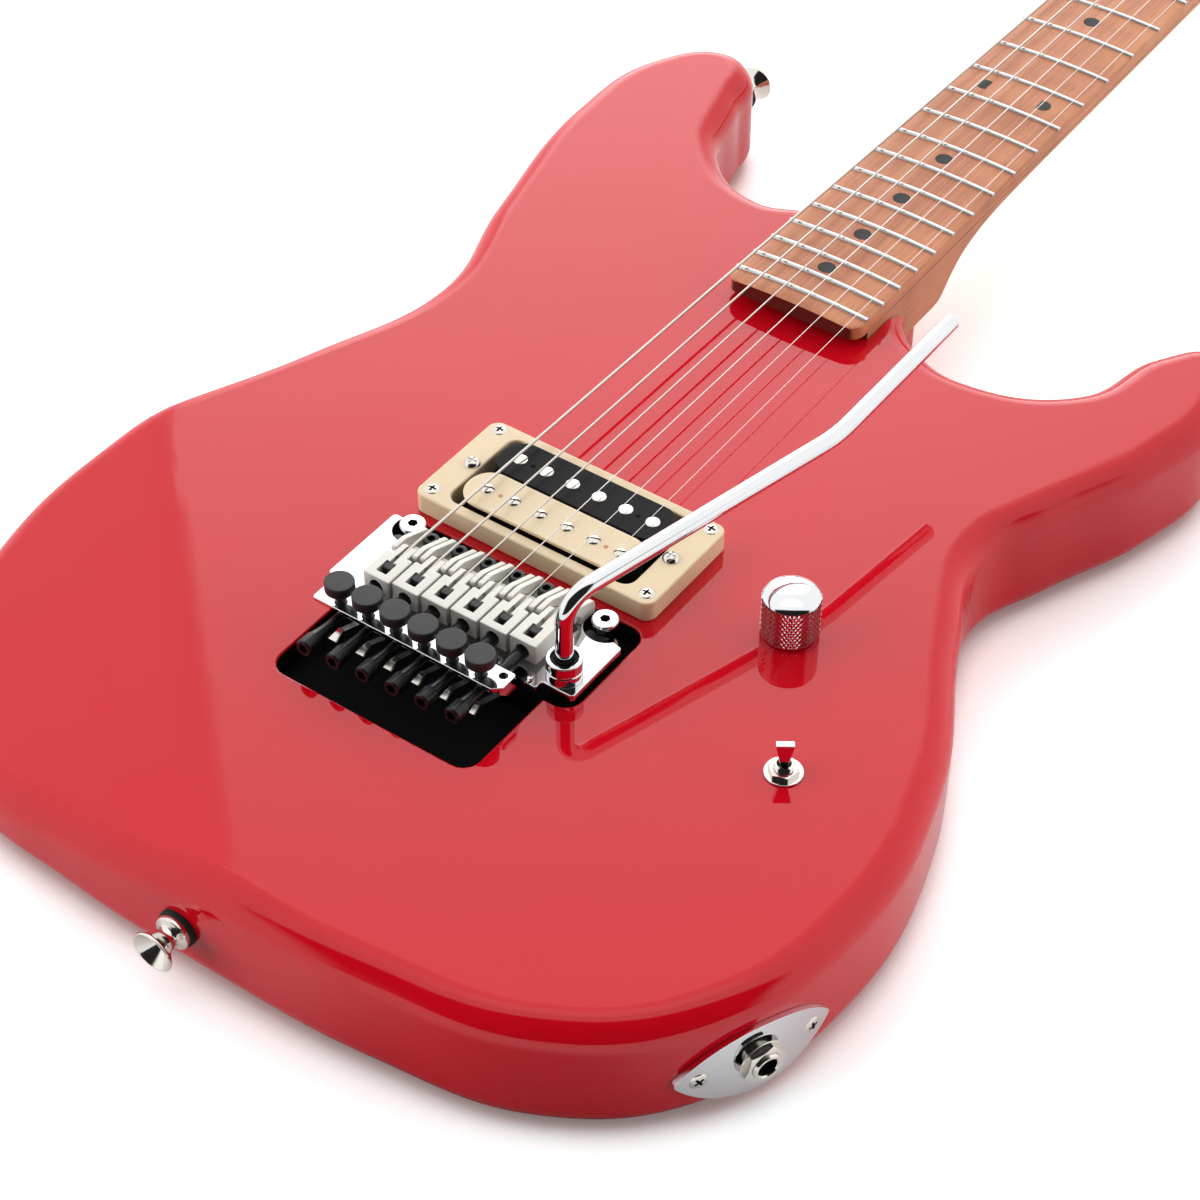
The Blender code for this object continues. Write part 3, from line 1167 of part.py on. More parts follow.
def make_studs():
    head_top, head_low = TOP + STUD_HEAD_TOP_LIFT, TOP + STUD_HEAD_BOTTOM_LIFT
    flange_low = RECESS_FLOOR + GAP
    flange_high = flange_low + STUD_FLANGE_HEIGHT
    foot = RECESS_FLOOR - STUD_DEPTH + GAP
    profile = [
        (0, head_top), (STUD_HEAD_RADIUS - 0.5 * MM, head_top), (STUD_HEAD_RADIUS, head_top - 0.5 * MM),
        (STUD_HEAD_RADIUS, head_low), (STUD_NECK_RADIUS, head_low), (STUD_NECK_RADIUS, flange_high),
        (STUD_FLANGE_RADIUS, flange_high), (STUD_FLANGE_RADIUS, flange_low), (STUD_NECK_RADIUS, flange_low),
        (STUD_NECK_RADIUS, foot), (0, foot),
    ]
    for name, side in (("pivot_stud_bass", -1), ("pivot_stud_treble", 1)):
        part(name, turned(profile, (side * STUD_HALF_SPACING, STUD_Y, 0), steps=18), "chrome")


def make_springs():
    low, high = SPRING_Z - CLAW_HEIGHT / 2, SPRING_Z + CLAW_HEIGHT / 2
    claw = box((-CLAW_HALF_WIDTH, CLAW_Y, low), (CLAW_HALF_WIDTH, CLAW_Y + CLAW_THICKNESS, high))
    part("spring_claw", claw, "zinc")
    for side in (-1, 1):
        x = side * CLAW_SCREW_X
        start = (x, CLAW_Y + CLAW_THICKNESS / 2, SPRING_Z)
        join(claw, rod(start, (x, SPRING_CAVITY_FRONT - GAP, SPRING_Z), CLAW_SCREW_RADIUS, sides=10))
    for number, side in ((1, 1), (2, -1)):
        x = side * SPRING_HALF_SPACING
        spring = rod((x, BLOCK_FRONT + GAP, SPRING_Z), (x, CLAW_Y - GAP, SPRING_Z), SPRING_RADIUS, sides=12)
        part(f"tremolo_spring_{number}", spring, "string_steel")


def make_string(number):
    """From the front of its saddle's clamp block, over the nut and down to its post."""
    radius = STRING_DIAMETERS[number - 1] / 2
    post_x, post_y = post_place(number)
    start_y = SADDLE_BLOCK_FRONT + GAP
    nut_y = SCALE_LENGTH + NUT_LENGTH / 2
    route = [
        (string_x(number, 0), start_y, TOP + string_lift(number, 0)),
        (string_x(number, SCALE_LENGTH), SCALE_LENGTH, TOP + string_lift(number, SCALE_LENGTH)),
        (string_x(number, nut_y), nut_y, TOP + string_lift(number, SCALE_LENGTH)),
        (post_x + POST_RADIUS + GAP + radius, post_y, TOP + STRING_POST_LIFT),
    ]
    part(f"string_{number}", wire(route, radius, resolution=1), "string_steel")


def main():
    make_body()
    make_neck()
    make_fretboard()
    make_neck_hardware()
    make_tuners()
    make_covers()
    make_strap_buttons()
    make_pickup()
    make_volume_control()
    make_toggle()
    make_jack()
    make_studs()
    make_springs()
    frame = moving_frame("tremolo_pivot", PIVOT)
    make_bridge(frame)
    make_arm(frame)
    for number in range(1, STRING_COUNT + 1):
        make_saddle(number, frame)
        make_fine_tuner(number, frame)
        make_string(number)


main()
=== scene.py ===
"""Looks of a solid electric guitar with a floating locking tremolo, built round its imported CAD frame.

Sizes are in millimetres and meshes in metres. The guitar lies on its back: +X is the treble side, +Y runs
from the bridge to the headstock, +Z comes out of the top. Heights called lift are above the body's top.
"""

import json
import math

import bmesh
import bpy
from mathutils import Matrix, Vector

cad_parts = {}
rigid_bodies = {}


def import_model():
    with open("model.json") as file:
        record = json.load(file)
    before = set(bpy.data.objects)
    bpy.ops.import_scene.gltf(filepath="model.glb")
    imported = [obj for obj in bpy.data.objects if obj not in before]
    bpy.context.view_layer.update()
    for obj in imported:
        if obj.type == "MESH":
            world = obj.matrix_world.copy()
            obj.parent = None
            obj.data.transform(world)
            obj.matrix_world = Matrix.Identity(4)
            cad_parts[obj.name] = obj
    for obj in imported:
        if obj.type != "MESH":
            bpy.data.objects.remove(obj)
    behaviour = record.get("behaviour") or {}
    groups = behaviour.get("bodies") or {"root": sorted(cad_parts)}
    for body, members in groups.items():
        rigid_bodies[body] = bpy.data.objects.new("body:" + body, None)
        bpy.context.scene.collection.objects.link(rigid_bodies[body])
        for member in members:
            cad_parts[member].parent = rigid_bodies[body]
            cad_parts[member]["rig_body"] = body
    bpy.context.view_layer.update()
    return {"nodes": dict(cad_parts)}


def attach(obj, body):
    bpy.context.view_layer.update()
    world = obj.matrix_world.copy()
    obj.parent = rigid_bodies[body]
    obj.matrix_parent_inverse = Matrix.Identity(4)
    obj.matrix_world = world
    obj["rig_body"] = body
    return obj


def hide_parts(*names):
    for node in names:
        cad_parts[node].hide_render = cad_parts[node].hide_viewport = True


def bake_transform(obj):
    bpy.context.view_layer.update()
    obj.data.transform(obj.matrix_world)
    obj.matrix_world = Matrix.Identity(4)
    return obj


for left_over in list(bpy.data.objects):
    bpy.data.objects.remove(left_over, do_unlink=True)
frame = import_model()
SCENE = bpy.context.scene
MM = 0.001

# Camera of the photograph
CAMERA_PLACE = (388.54, -489.35, 643.72)
CAMERA_AZIMUTH, CAMERA_ELEVATION, CAMERA_ROLL = 35.282, 43.773, 0.169
CAMERA_LENS, CAMERA_SENSOR = 82.496, 36.0

# Light of the studio: the tent in reflections, the tent on matt surfaces, the floor with its painted shade
# and painted contact shadow, and the lamp
TENT_BASE, TENT_WALL, TENT_PANEL, OPENING_DARKNESS = 1.1, 2.5, 0.35, 0.985
TENT_SOFT, TENT_LEFT, TENT_RIGHT = 0.82, 3.3, 2.3
FLOOR_HALF = 12000
# A painted shade on the floor in front of the tail, seen in reflections and bounced light
FLOOR_SHADE_PLACE, FLOOR_SHADE_SHARE = (0.10, -0.125, 0), 0.62
# A painted reddish contact shadow on the floor, seen by the camera
CONTACT_SHADOW_REACH, CONTACT_SHADOW_COLOUR = 0.013, (0.55, 0.38, 0.36, 1)
FLOOR_SHINE, FLOOR_SHARE, FLOOR_GAIN = 1.1, 0.12, (1.62, 1.74, 1.74, 1)
LAMP_POWER, LAMP_SIZE = 5.0, 1.0
LAMP_PLACE, LAMP_AIM = Vector((-0.5, 1.2, 1.2)), Vector((0, 0.2, 0))

# Sizes shared by several pieces
TOP = 45.0
SCALE_LENGTH = 648.0
FRET_COUNT = 22
LAST_FRET_Y = SCALE_LENGTH * 2 ** (-FRET_COUNT / 12)
NUT_HALF_WIDTH, LAST_FRET_HALF_WIDTH = 21.0, 27.3
NECK_TAPER = 6.3 / (SCALE_LENGTH - LAST_FRET_Y)
CLEARANCE = 0.3
BOARD_END_Y = LAST_FRET_Y - 7.5
HEEL_Y = BOARD_END_Y + 8.0
NECK_TOP = TOP + 3.0
HEEL_DEPTH = 22.0
BOARD_BOTTOM, BOARD_EDGE = TOP + 3.3, TOP + 8.3
BOARD_RADIUS = 305.0
HEAD_TOP, HEAD_BOTTOM = TOP + 0.5, TOP - 12.5
STRING_DIAMETERS = (0.25, 0.30, 0.43, 0.66, 0.86, 1.07)
STRINGS = range(1, 7)
BRIDGE_SPACING, SPACING_LOSS = 10.8, 3.8
SADDLE_LIFT, NUT_LIFT = 12.4, 10.9
SADDLE_SETBACK, SADDLE_STEP = 1.84, 0.737
POST_REACH, POST_PITCH, POST_SIDE = 42.0, 25.5, 3.3
WORM_Z = 25.7
RETAINER_X, RETAINER_Y = 20.5, 669
PLATE_TOP = TOP + 3.6
SHELF_TOP = TOP + 13.516
RECESS_FLOOR = TOP - 8.5
FINE_TUNER_SHIFT, FINE_TUNER_Y = 1.6, -37.6
SPRING_X, SPRING_Z, SPRING_WIRE = 14, 15, 0.65
RING_Y = 42.8
SLUG_Y, SCREW_Y, BOBBIN_TOP = 51.7, 33.9, TOP + 9.6
HEIGHT_SCREW_X = 39.4
POLE_SPACING = 10.51
KNOB_PLACE = (83.9, 43.3)
TOGGLE_PLACE = (114.4, -7.8)
TOGGLE_TURN = math.radians(35)
JACK_PLACE = Vector((155.0, -82.0, 19.5))
JACK_ANGLE = math.radians(-23)
JACK_AXIS = Vector((math.cos(JACK_ANGLE), math.sin(JACK_ANGLE), 0))
STUD_X, STUD_Y = 37.8, 9.2
ARM_PLACE = Vector((40.2, -15.5, TOP))
OUTLINE = (
    (0, -141.5), (60, -138.5), (112, -126.5), (147, -94.5), (162.5, -40), (153, 21), (126, 78), (113.6, 114),
    *(
        (x, y + HEEL_Y)
        for x, y in (
            (124, -36.5), (140.5, 5), (144.5, 43), (128, 68.5), (111.5, 54), (99, 20), (64, 4.2), (44, 9.5),
            (31, 20.5), (25.4, 32), (21.5, 46), (10, 57), (-14, 62), (-34, 57.5), (-50.7, 52), (-80, 68.5),
            (-93, 101), (-100, 122.5), (-117, 129), (-138.5, 107), (-143.5, 63), (-130, -7),
        )
    ),
    (-115.8, 121), (-131, 67), (-158.5, -4), (-164.5, -50), (-147, -104), (-105, -133.5), (-55, -140.5),
)
COVER_LOW, COVER_HIGH, SCREW_SINK = 0.02, 2.0, 0.35
CONTOUR_START, CONTOUR_END = (-145.8, 17.9), (11.8, -130.1)
CONTOUR_SLOPE, CONTOUR_BLEND, CONTOUR_CUTS = 0.31, 18, 12
CONTROL_OUTLINE = ((64, 58), (98, 62), (121, 24), (134, -22), (124, -58), (98, -62), (74, -14))


# Node trees


class Signal:
    """A node's output. Arithmetic on it adds Math nodes."""

    def __init__(self, net, socket):
        self.net = net
        self.socket = socket

    def maths(self, operation, first, second=0.0):
        return self.net.add("ShaderNodeMath", {"operation": operation}, {0: first, 1: second})

    def __add__(self, other):
        return self.maths("ADD", self, other)

    def __sub__(self, other):
        return self.maths("SUBTRACT", self, other)

    def __rsub__(self, other):
        return self.maths("SUBTRACT", other, self)

    def __mul__(self, other):
        return self.maths("MULTIPLY", self, other)

    def __truediv__(self, other):
        return self.maths("DIVIDE", self, other)

    def __rpow__(self, other):
        return self.maths("POWER", other, self)

    def above(self, level):
        return self.maths("GREATER_THAN", self, level)

    __radd__ = __add__
    __rmul__ = __mul__


class Net:
    """A node tree that is being built."""

    def __init__(self, tree):
        self.tree = tree
        tree.nodes.clear()

    def add(self, kind, settings=(), sockets=(), output=0):
        node = self.tree.nodes.new(kind)
        for key, value in dict(settings).items():
            if key == "stops":
                ramp = node.color_ramp
                while len(ramp.elements) < len(value):
                    ramp.elements.new(0.5)
                for element, (place, colour) in zip(ramp.elements, value):
                    element.position = place
                    element.color = colour
            else:
                setattr(node, key, value)
        for key, value in dict(sockets).items():
            if isinstance(value, Signal):
                self.tree.links.new(value.socket, node.inputs[key])
            else:
                node.inputs[key].default_value = value
        return Signal(self, node.outputs[output])

    def mix(self, share, first, second):
        return self.add("ShaderNodeMix", {"data_type": "RGBA"}, {0: share, 6: first, 7: second}, 2)

    def place(self, scale=(1, 1, 1)):
        """Object coordinates in metres, stretched by a scale for each axis."""
        here = self.add("ShaderNodeTexCoord", output="Object")
        return self.add("ShaderNodeMapping", {}, {"Vector": here, "Scale": scale})

    def noise(self, vector, scale, detail=2.0, roughness=0.5):
        sockets = {"Vector": vector, "Scale": scale, "Detail": detail, "Roughness": roughness}
        return self.add("ShaderNodeTexNoise", {}, sockets)

    def ramp(self, share, *stops):
        return self.add("ShaderNodeValToRGB", {"stops": stops}, {"Fac": share})

    def bump(self, height, strength, distance):
        sockets = {"Height": height, "Strength": strength, "Distance": distance}
        return self.add("ShaderNodeBump", {}, sockets)

    def step(self, value, low, high, start=0.0, end=1.0):
        """A smooth step from start to end while a value goes from low to high."""
        sockets = {"Value": value, "From Min": low, "From Max": high, "To Min": start, "To Max": end}
        return self.add("ShaderNodeMapRange", {"interpolation_type": "SMOOTHSTEP"}, sockets)

    def measure(self, operation, first, second):
        """One number from two vectors, such as their dot product."""
        return self.add("ShaderNodeVectorMath", {"operation": operation}, {0: first, 1: second}, "Value")

    def xyz(self, x=0.0, y=0.0, z=0.0):
        return self.add("ShaderNodeCombineXYZ", {}, {0: x, 1: y, 2: z})

    def split(self, vector):
        parts = self.add("ShaderNodeSeparateXYZ", {}, {0: vector}).socket.node.outputs
        return [Signal(self, part) for part in parts]


def srgb(red, green, blue):
    """A screen colour, 0 to 255, as linear light."""
    levels = [level / 255 for level in (red, green, blue)]
    linear = [level / 12.92 if level <= 0.04045 else ((level + 0.055) / 1.055) ** 2.4 for level in levels]
    return (*linear, 1.0)


def finish(name, paint):
    """A material whose shader sockets come from a paint function."""
    made = bpy.data.materials.new(name)
    made.use_nodes = True
    net = Net(made.node_tree)
    shader = net.add("ShaderNodeBsdfPrincipled", {}, paint(net))
    end = made.node_tree.nodes.new("ShaderNodeOutputMaterial")
    made.node_tree.links.new(shader.socket, end.inputs["Surface"])
    return made


def red_gloss(net):
    cloud = net.noise(net.place(), 9.0, 3.0)
    peel = net.noise(net.place(), 160.0, 1.0)
    haze = net.noise(net.place(), 45.0, 4.0)
    return {
        "Base Color": net.mix(cloud, (0.575, 0.002, 0.010, 1), (0.625, 0.003, 0.013, 1)),
        "Roughness": 0.045 + 0.03 * haze,
        "Normal": net.bump(peel, 0.012, 0.0004),
        "Specular IOR Level": 0.0,
        "Coat Weight": 0.94 + 0.06 * haze,
        "Coat Roughness": 0.015,
    }


# Black for the body's cavities and the jack's lining, and painted shade on the floors of screw recesses,
# sockets and holes.
def lacquer_black(net):
    dust = net.noise(net.place(), 700.0, 3.0)
    return {
        "Base Color": net.mix(dust, (0.003, 0.003, 0.003, 1), (0.008, 0.007, 0.007, 1)),
        "Roughness": 0.75 + 0.15 * dust,
        "Normal": net.bump(dust, 0.08, 0.0002),
        "Specular IOR Level": 0.08,
    }


def maple(light, middle, dark, gloss):
    """Paint of roasted maple in three tones."""
    return lambda net: wood(net, light, middle, dark, gloss)


def wood(net, light, middle, dark, gloss):
    """Broad bands, fine fibres along the neck, short pores, a little figure across it, and a dark red on
    faces that look along the neck: darker end grain with painted shade and a painted reflection of the red
    body.
    """
    bands = net.noise(net.place((26, 2.2, 26)), 1.0, 3.0, 0.55)
    fibres = net.noise(net.place((900, 16, 900)), 1.0, 3.0, 0.6)
    pores = net.noise(net.place((1500, 95, 1500)), 1.0, 1.0).above(0.66)
    figure = net.noise(net.place((14, 70, 14)), 1.0, 2.0)
    tone = 0.52 * bands + 0.30 * fibres + 0.18 * figure
    colour = net.ramp(tone, (0.34, dark), (0.5, middle), (0.64, light))
    colour = net.mix(0.45 * pores, colour, dark)
    # Faces that look along the neck turn dark red, rougher and without coat. This is partly darker end grain,
    # and mostly painted shade and a painted reflection of the red body.
    facing = net.add("ShaderNodeNewGeometry", output="Normal")
    along = net.measure("DOT_PRODUCT", facing, (0, 1, 0))
    end_grain_and_shade = net.step(along * along, 0.5, 0.9)
    colour = net.mix(end_grain_and_shade, colour, srgb(100, 18, 8))
    return {
        "Base Color": colour,
        "Roughness": gloss + 0.12 * fibres + 0.35 * end_grain_and_shade,
        "Normal": net.bump(fibres - 0.5 * pores, 0.16, 0.0002),
        "Specular IOR Level": 0.3,
        "Coat Weight": 0.12 * (1.0 - end_grain_and_shade),
        "Coat Roughness": 0.3,
    }


def metal(*given):
    """Paint of bare or plated metal."""
    return lambda net: plating(net, *given)


def plating(net, colour, roughness, spread, grain_scale, bump=0.0, shine=1.0):
    grain = net.noise(net.place(), grain_scale, 3.0)
    wear = net.noise(net.place(), 60.0, 4.0)
    tarnish = tuple(level * 0.9 for level in colour[:3]) + (1,)
    sockets = {
        "Base Color": net.mix(wear, colour, tarnish),
        "Metallic": shine,
        "Roughness": roughness + spread * grain,
    }
    if bump:
        sockets["Normal"] = net.bump(grain, bump, 0.0002)
    return sockets


def string_wound(net):
    wraps = net.add(
        "ShaderNodeTexWave",
        {"bands_direction": "Y", "wave_profile": "SIN"},
        {"Vector": net.place(), "Scale": 380.0, "Distortion": 0.0},
        "Fac",
    )
    wear = net.noise(net.place(), 40.0, 3.0)
    return {
        "Base Color": net.mix(wear, (0.64, 0.59, 0.54, 1), (0.56, 0.51, 0.46, 1)),
        "Metallic": 1.0,
        "Roughness": 0.26 + 0.14 * wear,
        "Normal": net.bump(wraps, 0.5, 0.0001),
    }


def black_steel(net):
    grain = net.noise(net.place(), 1800.0, 3.0)
    wear = net.noise(net.place(), 70.0, 3.0)
    return {
        "Base Color": net.mix(wear, (0.008, 0.008, 0.009, 1), (0.017, 0.016, 0.018, 1)),
        "Roughness": 0.34 + 0.18 * grain,
        "Normal": net.bump(grain, 0.06, 0.0001),
    }


def black_oxide(net):
    grain = net.noise(net.place(), 2400.0, 3.0)
    return {
        "Base Color": net.mix(grain, (0.004, 0.004, 0.005, 1), (0.009, 0.008, 0.009, 1)),
        "Roughness": 0.22 + 0.14 * grain,
        "Normal": net.bump(grain, 0.08, 0.0001),
        "Specular IOR Level": 0.4,
    }


def cream_plastic(net):
    cloud = net.noise(net.place(), 35.0, 3.0)
    grain = net.noise(net.place(), 1400.0, 2.0)
    return {
        "Base Color": net.mix(cloud, srgb(224, 201, 164), srgb(231, 210, 176)),
        "Roughness": 0.24 + 0.14 * grain,
        "Normal": net.bump(grain, 0.03, 0.0001),
        "Coat Weight": 0.15,
        "Coat Roughness": 0.15,
        "Subsurface Weight": 0.25,
        "Subsurface Radius": (1.0, 0.6, 0.35),
        "Subsurface Scale": 0.002,
    }


def black_plastic(net):
    lines = net.noise(net.place((60, 2400, 60)), 1.0, 2.0)
    cloud = net.noise(net.place(), 50.0, 3.0)
    return {
        "Base Color": net.mix(cloud, (0.005, 0.0045, 0.005, 1), (0.010, 0.009, 0.010, 1)),
        "Roughness": 0.30 + 0.16 * lines,
        "Specular IOR Level": 0.10,
        "Normal": net.bump(lines, 0.05, 0.0001),
    }


def inlay_black(net):
    speck = net.noise(net.place(), 900.0, 3.0)
    return {
        "Base Color": net.mix(speck, (0.010, 0.010, 0.012, 1), (0.030, 0.028, 0.030, 1)),
        "Roughness": 0.42 + 0.10 * speck,
        "Specular IOR Level": 0.25,
    }


def felt(net):
    fuzz = net.noise(net.place(), 3200.0, 4.0, 0.7)
    return {
        "Base Color": net.mix(fuzz, (0.006, 0.006, 0.006, 1), (0.028, 0.026, 0.025, 1)),
        "Roughness": 0.85 + 0.1 * fuzz,
        "Normal": net.bump(fuzz, 0.6, 0.0003),
    }


PAINTS = {
    "red_gloss": red_gloss,
    "lacquer_black": lacquer_black,
    "roasted_board": maple(srgb(227, 159, 119), srgb(208, 137, 98), srgb(170, 102, 70), 0.42),
    "roasted_neck": maple(srgb(226, 162, 121), srgb(207, 139, 98), srgb(168, 103, 69), 0.40),
    "chrome": metal((0.86, 0.87, 0.885, 1), 0.03, 0.04, 220.0),
    "satin_nickel": metal((0.74, 0.715, 0.665, 1), 0.42, 0.14, 2600.0, 0.22, 0.3),
    "bright_nickel": metal((0.84, 0.80, 0.74, 1), 0.08, 0.08, 500.0),
    "fret_nickel": metal((0.70, 0.70, 0.69, 1), 0.16, 0.12, 900.0),
    "string_plain": metal((0.72, 0.69, 0.66, 1), 0.2, 0.15, 1200.0),
    "string_wound": string_wound,
    "black_steel": black_steel,
    "black_oxide": black_oxide,
    "cream_plastic": cream_plastic,
    "black_plastic": black_plastic,
    "inlay_black": inlay_black,
    "felt": felt,
    "cast_zinc": metal((0.52, 0.52, 0.54, 1), 0.36, 0.2, 1500.0, 0.2),
}
FINISHES = {name: finish(name, paint) for name, paint in PAINTS.items()}


# Shapes


def add_object(name, mesh):
    made = bpy.data.objects.new(name, mesh)
    SCENE.collection.objects.link(made)
    return made


def clean(mesh):
    bm = bmesh.new()
    bm.from_mesh(mesh)
    bmesh.ops.remove_doubles(bm, verts=bm.verts, dist=1e-6)
    bmesh.ops.recalc_face_normals(bm, faces=bm.faces)
    bm.to_mesh(mesh)
    bm.free()


def from_lists(name, verts, faces):
    mesh = bpy.data.meshes.new(name)
    mesh.from_pydata([Vector(place) * MM for place in verts], [], [face for face in faces if len(face) > 2])
    clean(mesh)
    return add_object(name, mesh)


def settle(piece):
    """Makes a piece's modifiers part of its mesh."""
    bpy.context.view_layer.update()
    graph = bpy.context.evaluated_depsgraph_get()
    mesh = bpy.data.meshes.new_from_object(piece.evaluated_get(graph))
    piece.modifiers.clear()
    old = piece.data
    piece.data = mesh
    bpy.data.meshes.remove(old)
    return piece


def shifted(piece, place=(0, 0, 0), turn=None):
    """Moves a piece's mesh, in millimetres, after an optional turn."""
    turn = Matrix.Identity(4) if turn is None else turn.to_4x4()
    piece.data.transform(Matrix.Translation(Vector(place) * MM) @ turn)
    return piece


def copied(piece, name):
    return add_object(name, piece.data.copy())


def soften(piece, width, segments=3, angle=40):
    """Rounds the sharp edges of a piece."""
    edge = piece.modifiers.new("edge", "BEVEL")
    edge.width = width * MM
    edge.segments = segments
    edge.limit_method = "ANGLE"
    edge.angle_limit = math.radians(angle)
    return settle(piece)


def combine(target, operation, others):
    for other in others:
        step = target.modifiers.new("combine", "BOOLEAN")
        step.operation = operation
        step.solver = "EXACT"
        step.material_mode = "TRANSFER"
        step.object = other
        settle(target)
        bpy.data.objects.remove(other, do_unlink=True)
    return target


def carve(target, *others):
    return combine(target, "DIFFERENCE", others)


def weld(target, *others):
    return combine(target, "UNION", others)


def gathered(name, pieces):
    """Several loose solids as one piece."""
    bm = bmesh.new()
    for piece in pieces:
        bm.from_mesh(piece.data)
        bpy.data.objects.remove(piece, do_unlink=True)
    mesh = bpy.data.meshes.new(name)
    bm.to_mesh(mesh)
    bm.free()
    return add_object(name, mesh)


def filleted(points, radius, closed=True, steps=5):
    """Rounds the corners of a flat outline, a profile or a path."""
    made = []
    count = len(points)
    for i, place in enumerate(points):
        here = Vector(place)
        size = radius[i] if isinstance(radius, (list, tuple)) else radius
        if size <= 0 or (not closed and i in (0, count - 1)):
            made.append(here)
            continue
        back, ahead = Vector(points[i - 1]) - here, Vector(points[(i + 1) % count]) - here
        angle = back.angle(ahead)
        if angle > 3.1:
            made.append(here)
            continue
        reach = min(size / math.tan(angle / 2), back.length * 0.495, ahead.length * 0.495)
        size = reach * math.tan(angle / 2)
        centre = here + (back.normalized() + ahead.normalized()).normalized() * (size / math.sin(angle / 2))
        start, end = here + back.normalized() * reach - centre, here + ahead.normalized() * reach - centre
        sweep = math.pi - angle
        for k in range(steps + 1):
            first, last = math.sin(sweep * (1 - k / steps)), math.sin(sweep * k / steps)
            made.append(centre + (start * first + end * last) / math.sin(sweep))
    return made


def turned(name, profile, place=(0, 0, 0), axis=(0, 0, 1), steps=48):
    """A shape turned about an axis. Its profile of radius and height runs from the axis round to the axis."""
    turn = Vector(axis).to_track_quat("Z", "Y").to_matrix()
    verts, rings = [], []
    for radius, height in profile:
        count = steps if radius > 1e-6 else 1
        rings.append(range(len(verts), len(verts) + count))
        for i in range(count):
            angle = 2 * math.pi * i / steps
            local = Vector((radius * math.cos(angle), radius * math.sin(angle), height))
            verts.append(Vector(place) + turn @ local)
    faces = []
    for near, far in zip(rings, rings[1:]):
        for i in range(steps):
            j = (i + 1) % steps
            corners = (near[i % len(near)], near[j % len(near)], far[j % len(far)], far[i % len(far)])
            faces.append(list(dict.fromkeys(corners)))
    return from_lists(name, verts, faces)


def plug(name, radius, low, high, place=(0, 0, 0), axis=(0, 0, 1), steps=48):
    """A plain round bar, or the cutter of a round hole."""
    return turned(name, [(0, high), (radius, high), (radius, low), (0, low)], place, axis, steps)


def washer(name, inner, outer, low, high, edge=0.3, **where):
    """A turned ring with rounded edges."""
    corners = [(inner, low), (outer, low), (outer, high), (inner, high)]
    ring = filleted(corners, edge, steps=3)
    return turned(name, [*ring, ring[0]], **where)


def prism(name, outline, low, high):
    """An upright slab with a flat outline."""
    count = len(outline)
    verts = [(*place, low) for place in outline] + [(*place, high) for place in outline]
    faces = [list(range(count)), list(range(count, 2 * count))]
    for i in range(count):
        j = (i + 1) % count
        faces.append([i, j, count + j, count + i])
    return from_lists(name, verts, faces)


def side_prism(name, outline, left, right):
    """A slab whose outline of (y, z) faces the side, between two places along X."""
    turn = Matrix(((0, 0, 1), (1, 0, 0), (0, 1, 0)))
    return shifted(prism(name, outline, left, right), turn=turn)


def rectangle(low, high):
    return [(low[0], low[1]), (high[0], low[1]), (high[0], high[1]), (low[0], high[1])]


def block(name, low, high, corner=0.0, edge=0.0, steps=5):
    """A box with rounded upright corners and softened edges."""
    outline = rectangle(low, high)
    made = prism(name, filleted(outline, corner, steps=steps) if corner else outline, low[2], high[2])
    return soften(made, edge) if edge else made


def hexagon(radius, turn=0.0):
    angles = [turn + math.pi * i / 3 for i in range(6)]
    return [(radius * math.cos(angle), radius * math.sin(angle)) for angle in angles]


def loft(name, rings):
    """A closed skin over rings with the same number of points."""
    count = len(rings[0])
    verts = [place for ring in rings for place in ring]
    faces = [list(range(count)), list(range(len(verts) - count, len(verts)))]
    for k in range(len(rings) - 1):
        for i in range(count):
            j = (i + 1) % count
            faces.append([k * count + i, k * count + j, (k + 1) * count + j, (k + 1) * count + i])
    return from_lists(name, verts, faces)


def tube(name, path, radius, sides=16):
    """A round bar along a path, with one radius or one for each point."""
    path = [Vector(place) for place in path]
    radii = radius if isinstance(radius, (list, tuple)) else [radius] * len(path)
    rings = []
    across = None
    for i, place in enumerate(path):
        ahead = (path[min(i + 1, len(path) - 1)] - path[max(i - 1, 0)]).normalized()
        across = ahead.orthogonal() if across is None else across - ahead * across.dot(ahead)
        across.normalize()
        other = ahead.cross(across)
        angles = [2 * math.pi * k / sides for k in range(sides)]
        rings.append([place + (across * math.cos(a) + other * math.sin(a)) * radii[i] for a in angles])
    return loft(name, rings)


def smooth_rows(rows, steps):
    """Rows on a smooth curve through the given rows."""
    made = []
    for i in range(len(rows) - 1):
        before, here = rows[max(i - 1, 0)], rows[i]
        there, after = rows[i + 1], rows[min(i + 2, len(rows) - 1)]
        for k in range(steps):
            t = k / steps
            row = []
            for a, b, c, d in zip(before, here, there, after):
                bend = (2 * a - 5 * b + 4 * c - d) * t**2 + (3 * b - a - 3 * c + d) * t**3
                row.append(b + ((c - a) * t + bend) / 2)
            made.append(tuple(row))
    made.append(tuple(rows[-1]))
    return made


def eased_rows(rows, steps):
    """Rows at even steps between the given rows, with everything but the first value on a smooth curve."""
    evenly = [a[0] + (b[0] - a[0]) * k / steps for a, b in zip(rows, rows[1:]) for k in range(steps)]
    return [(first, *row[1:]) for first, row in zip([*evenly, rows[-1][0]], smooth_rows(rows, steps))]


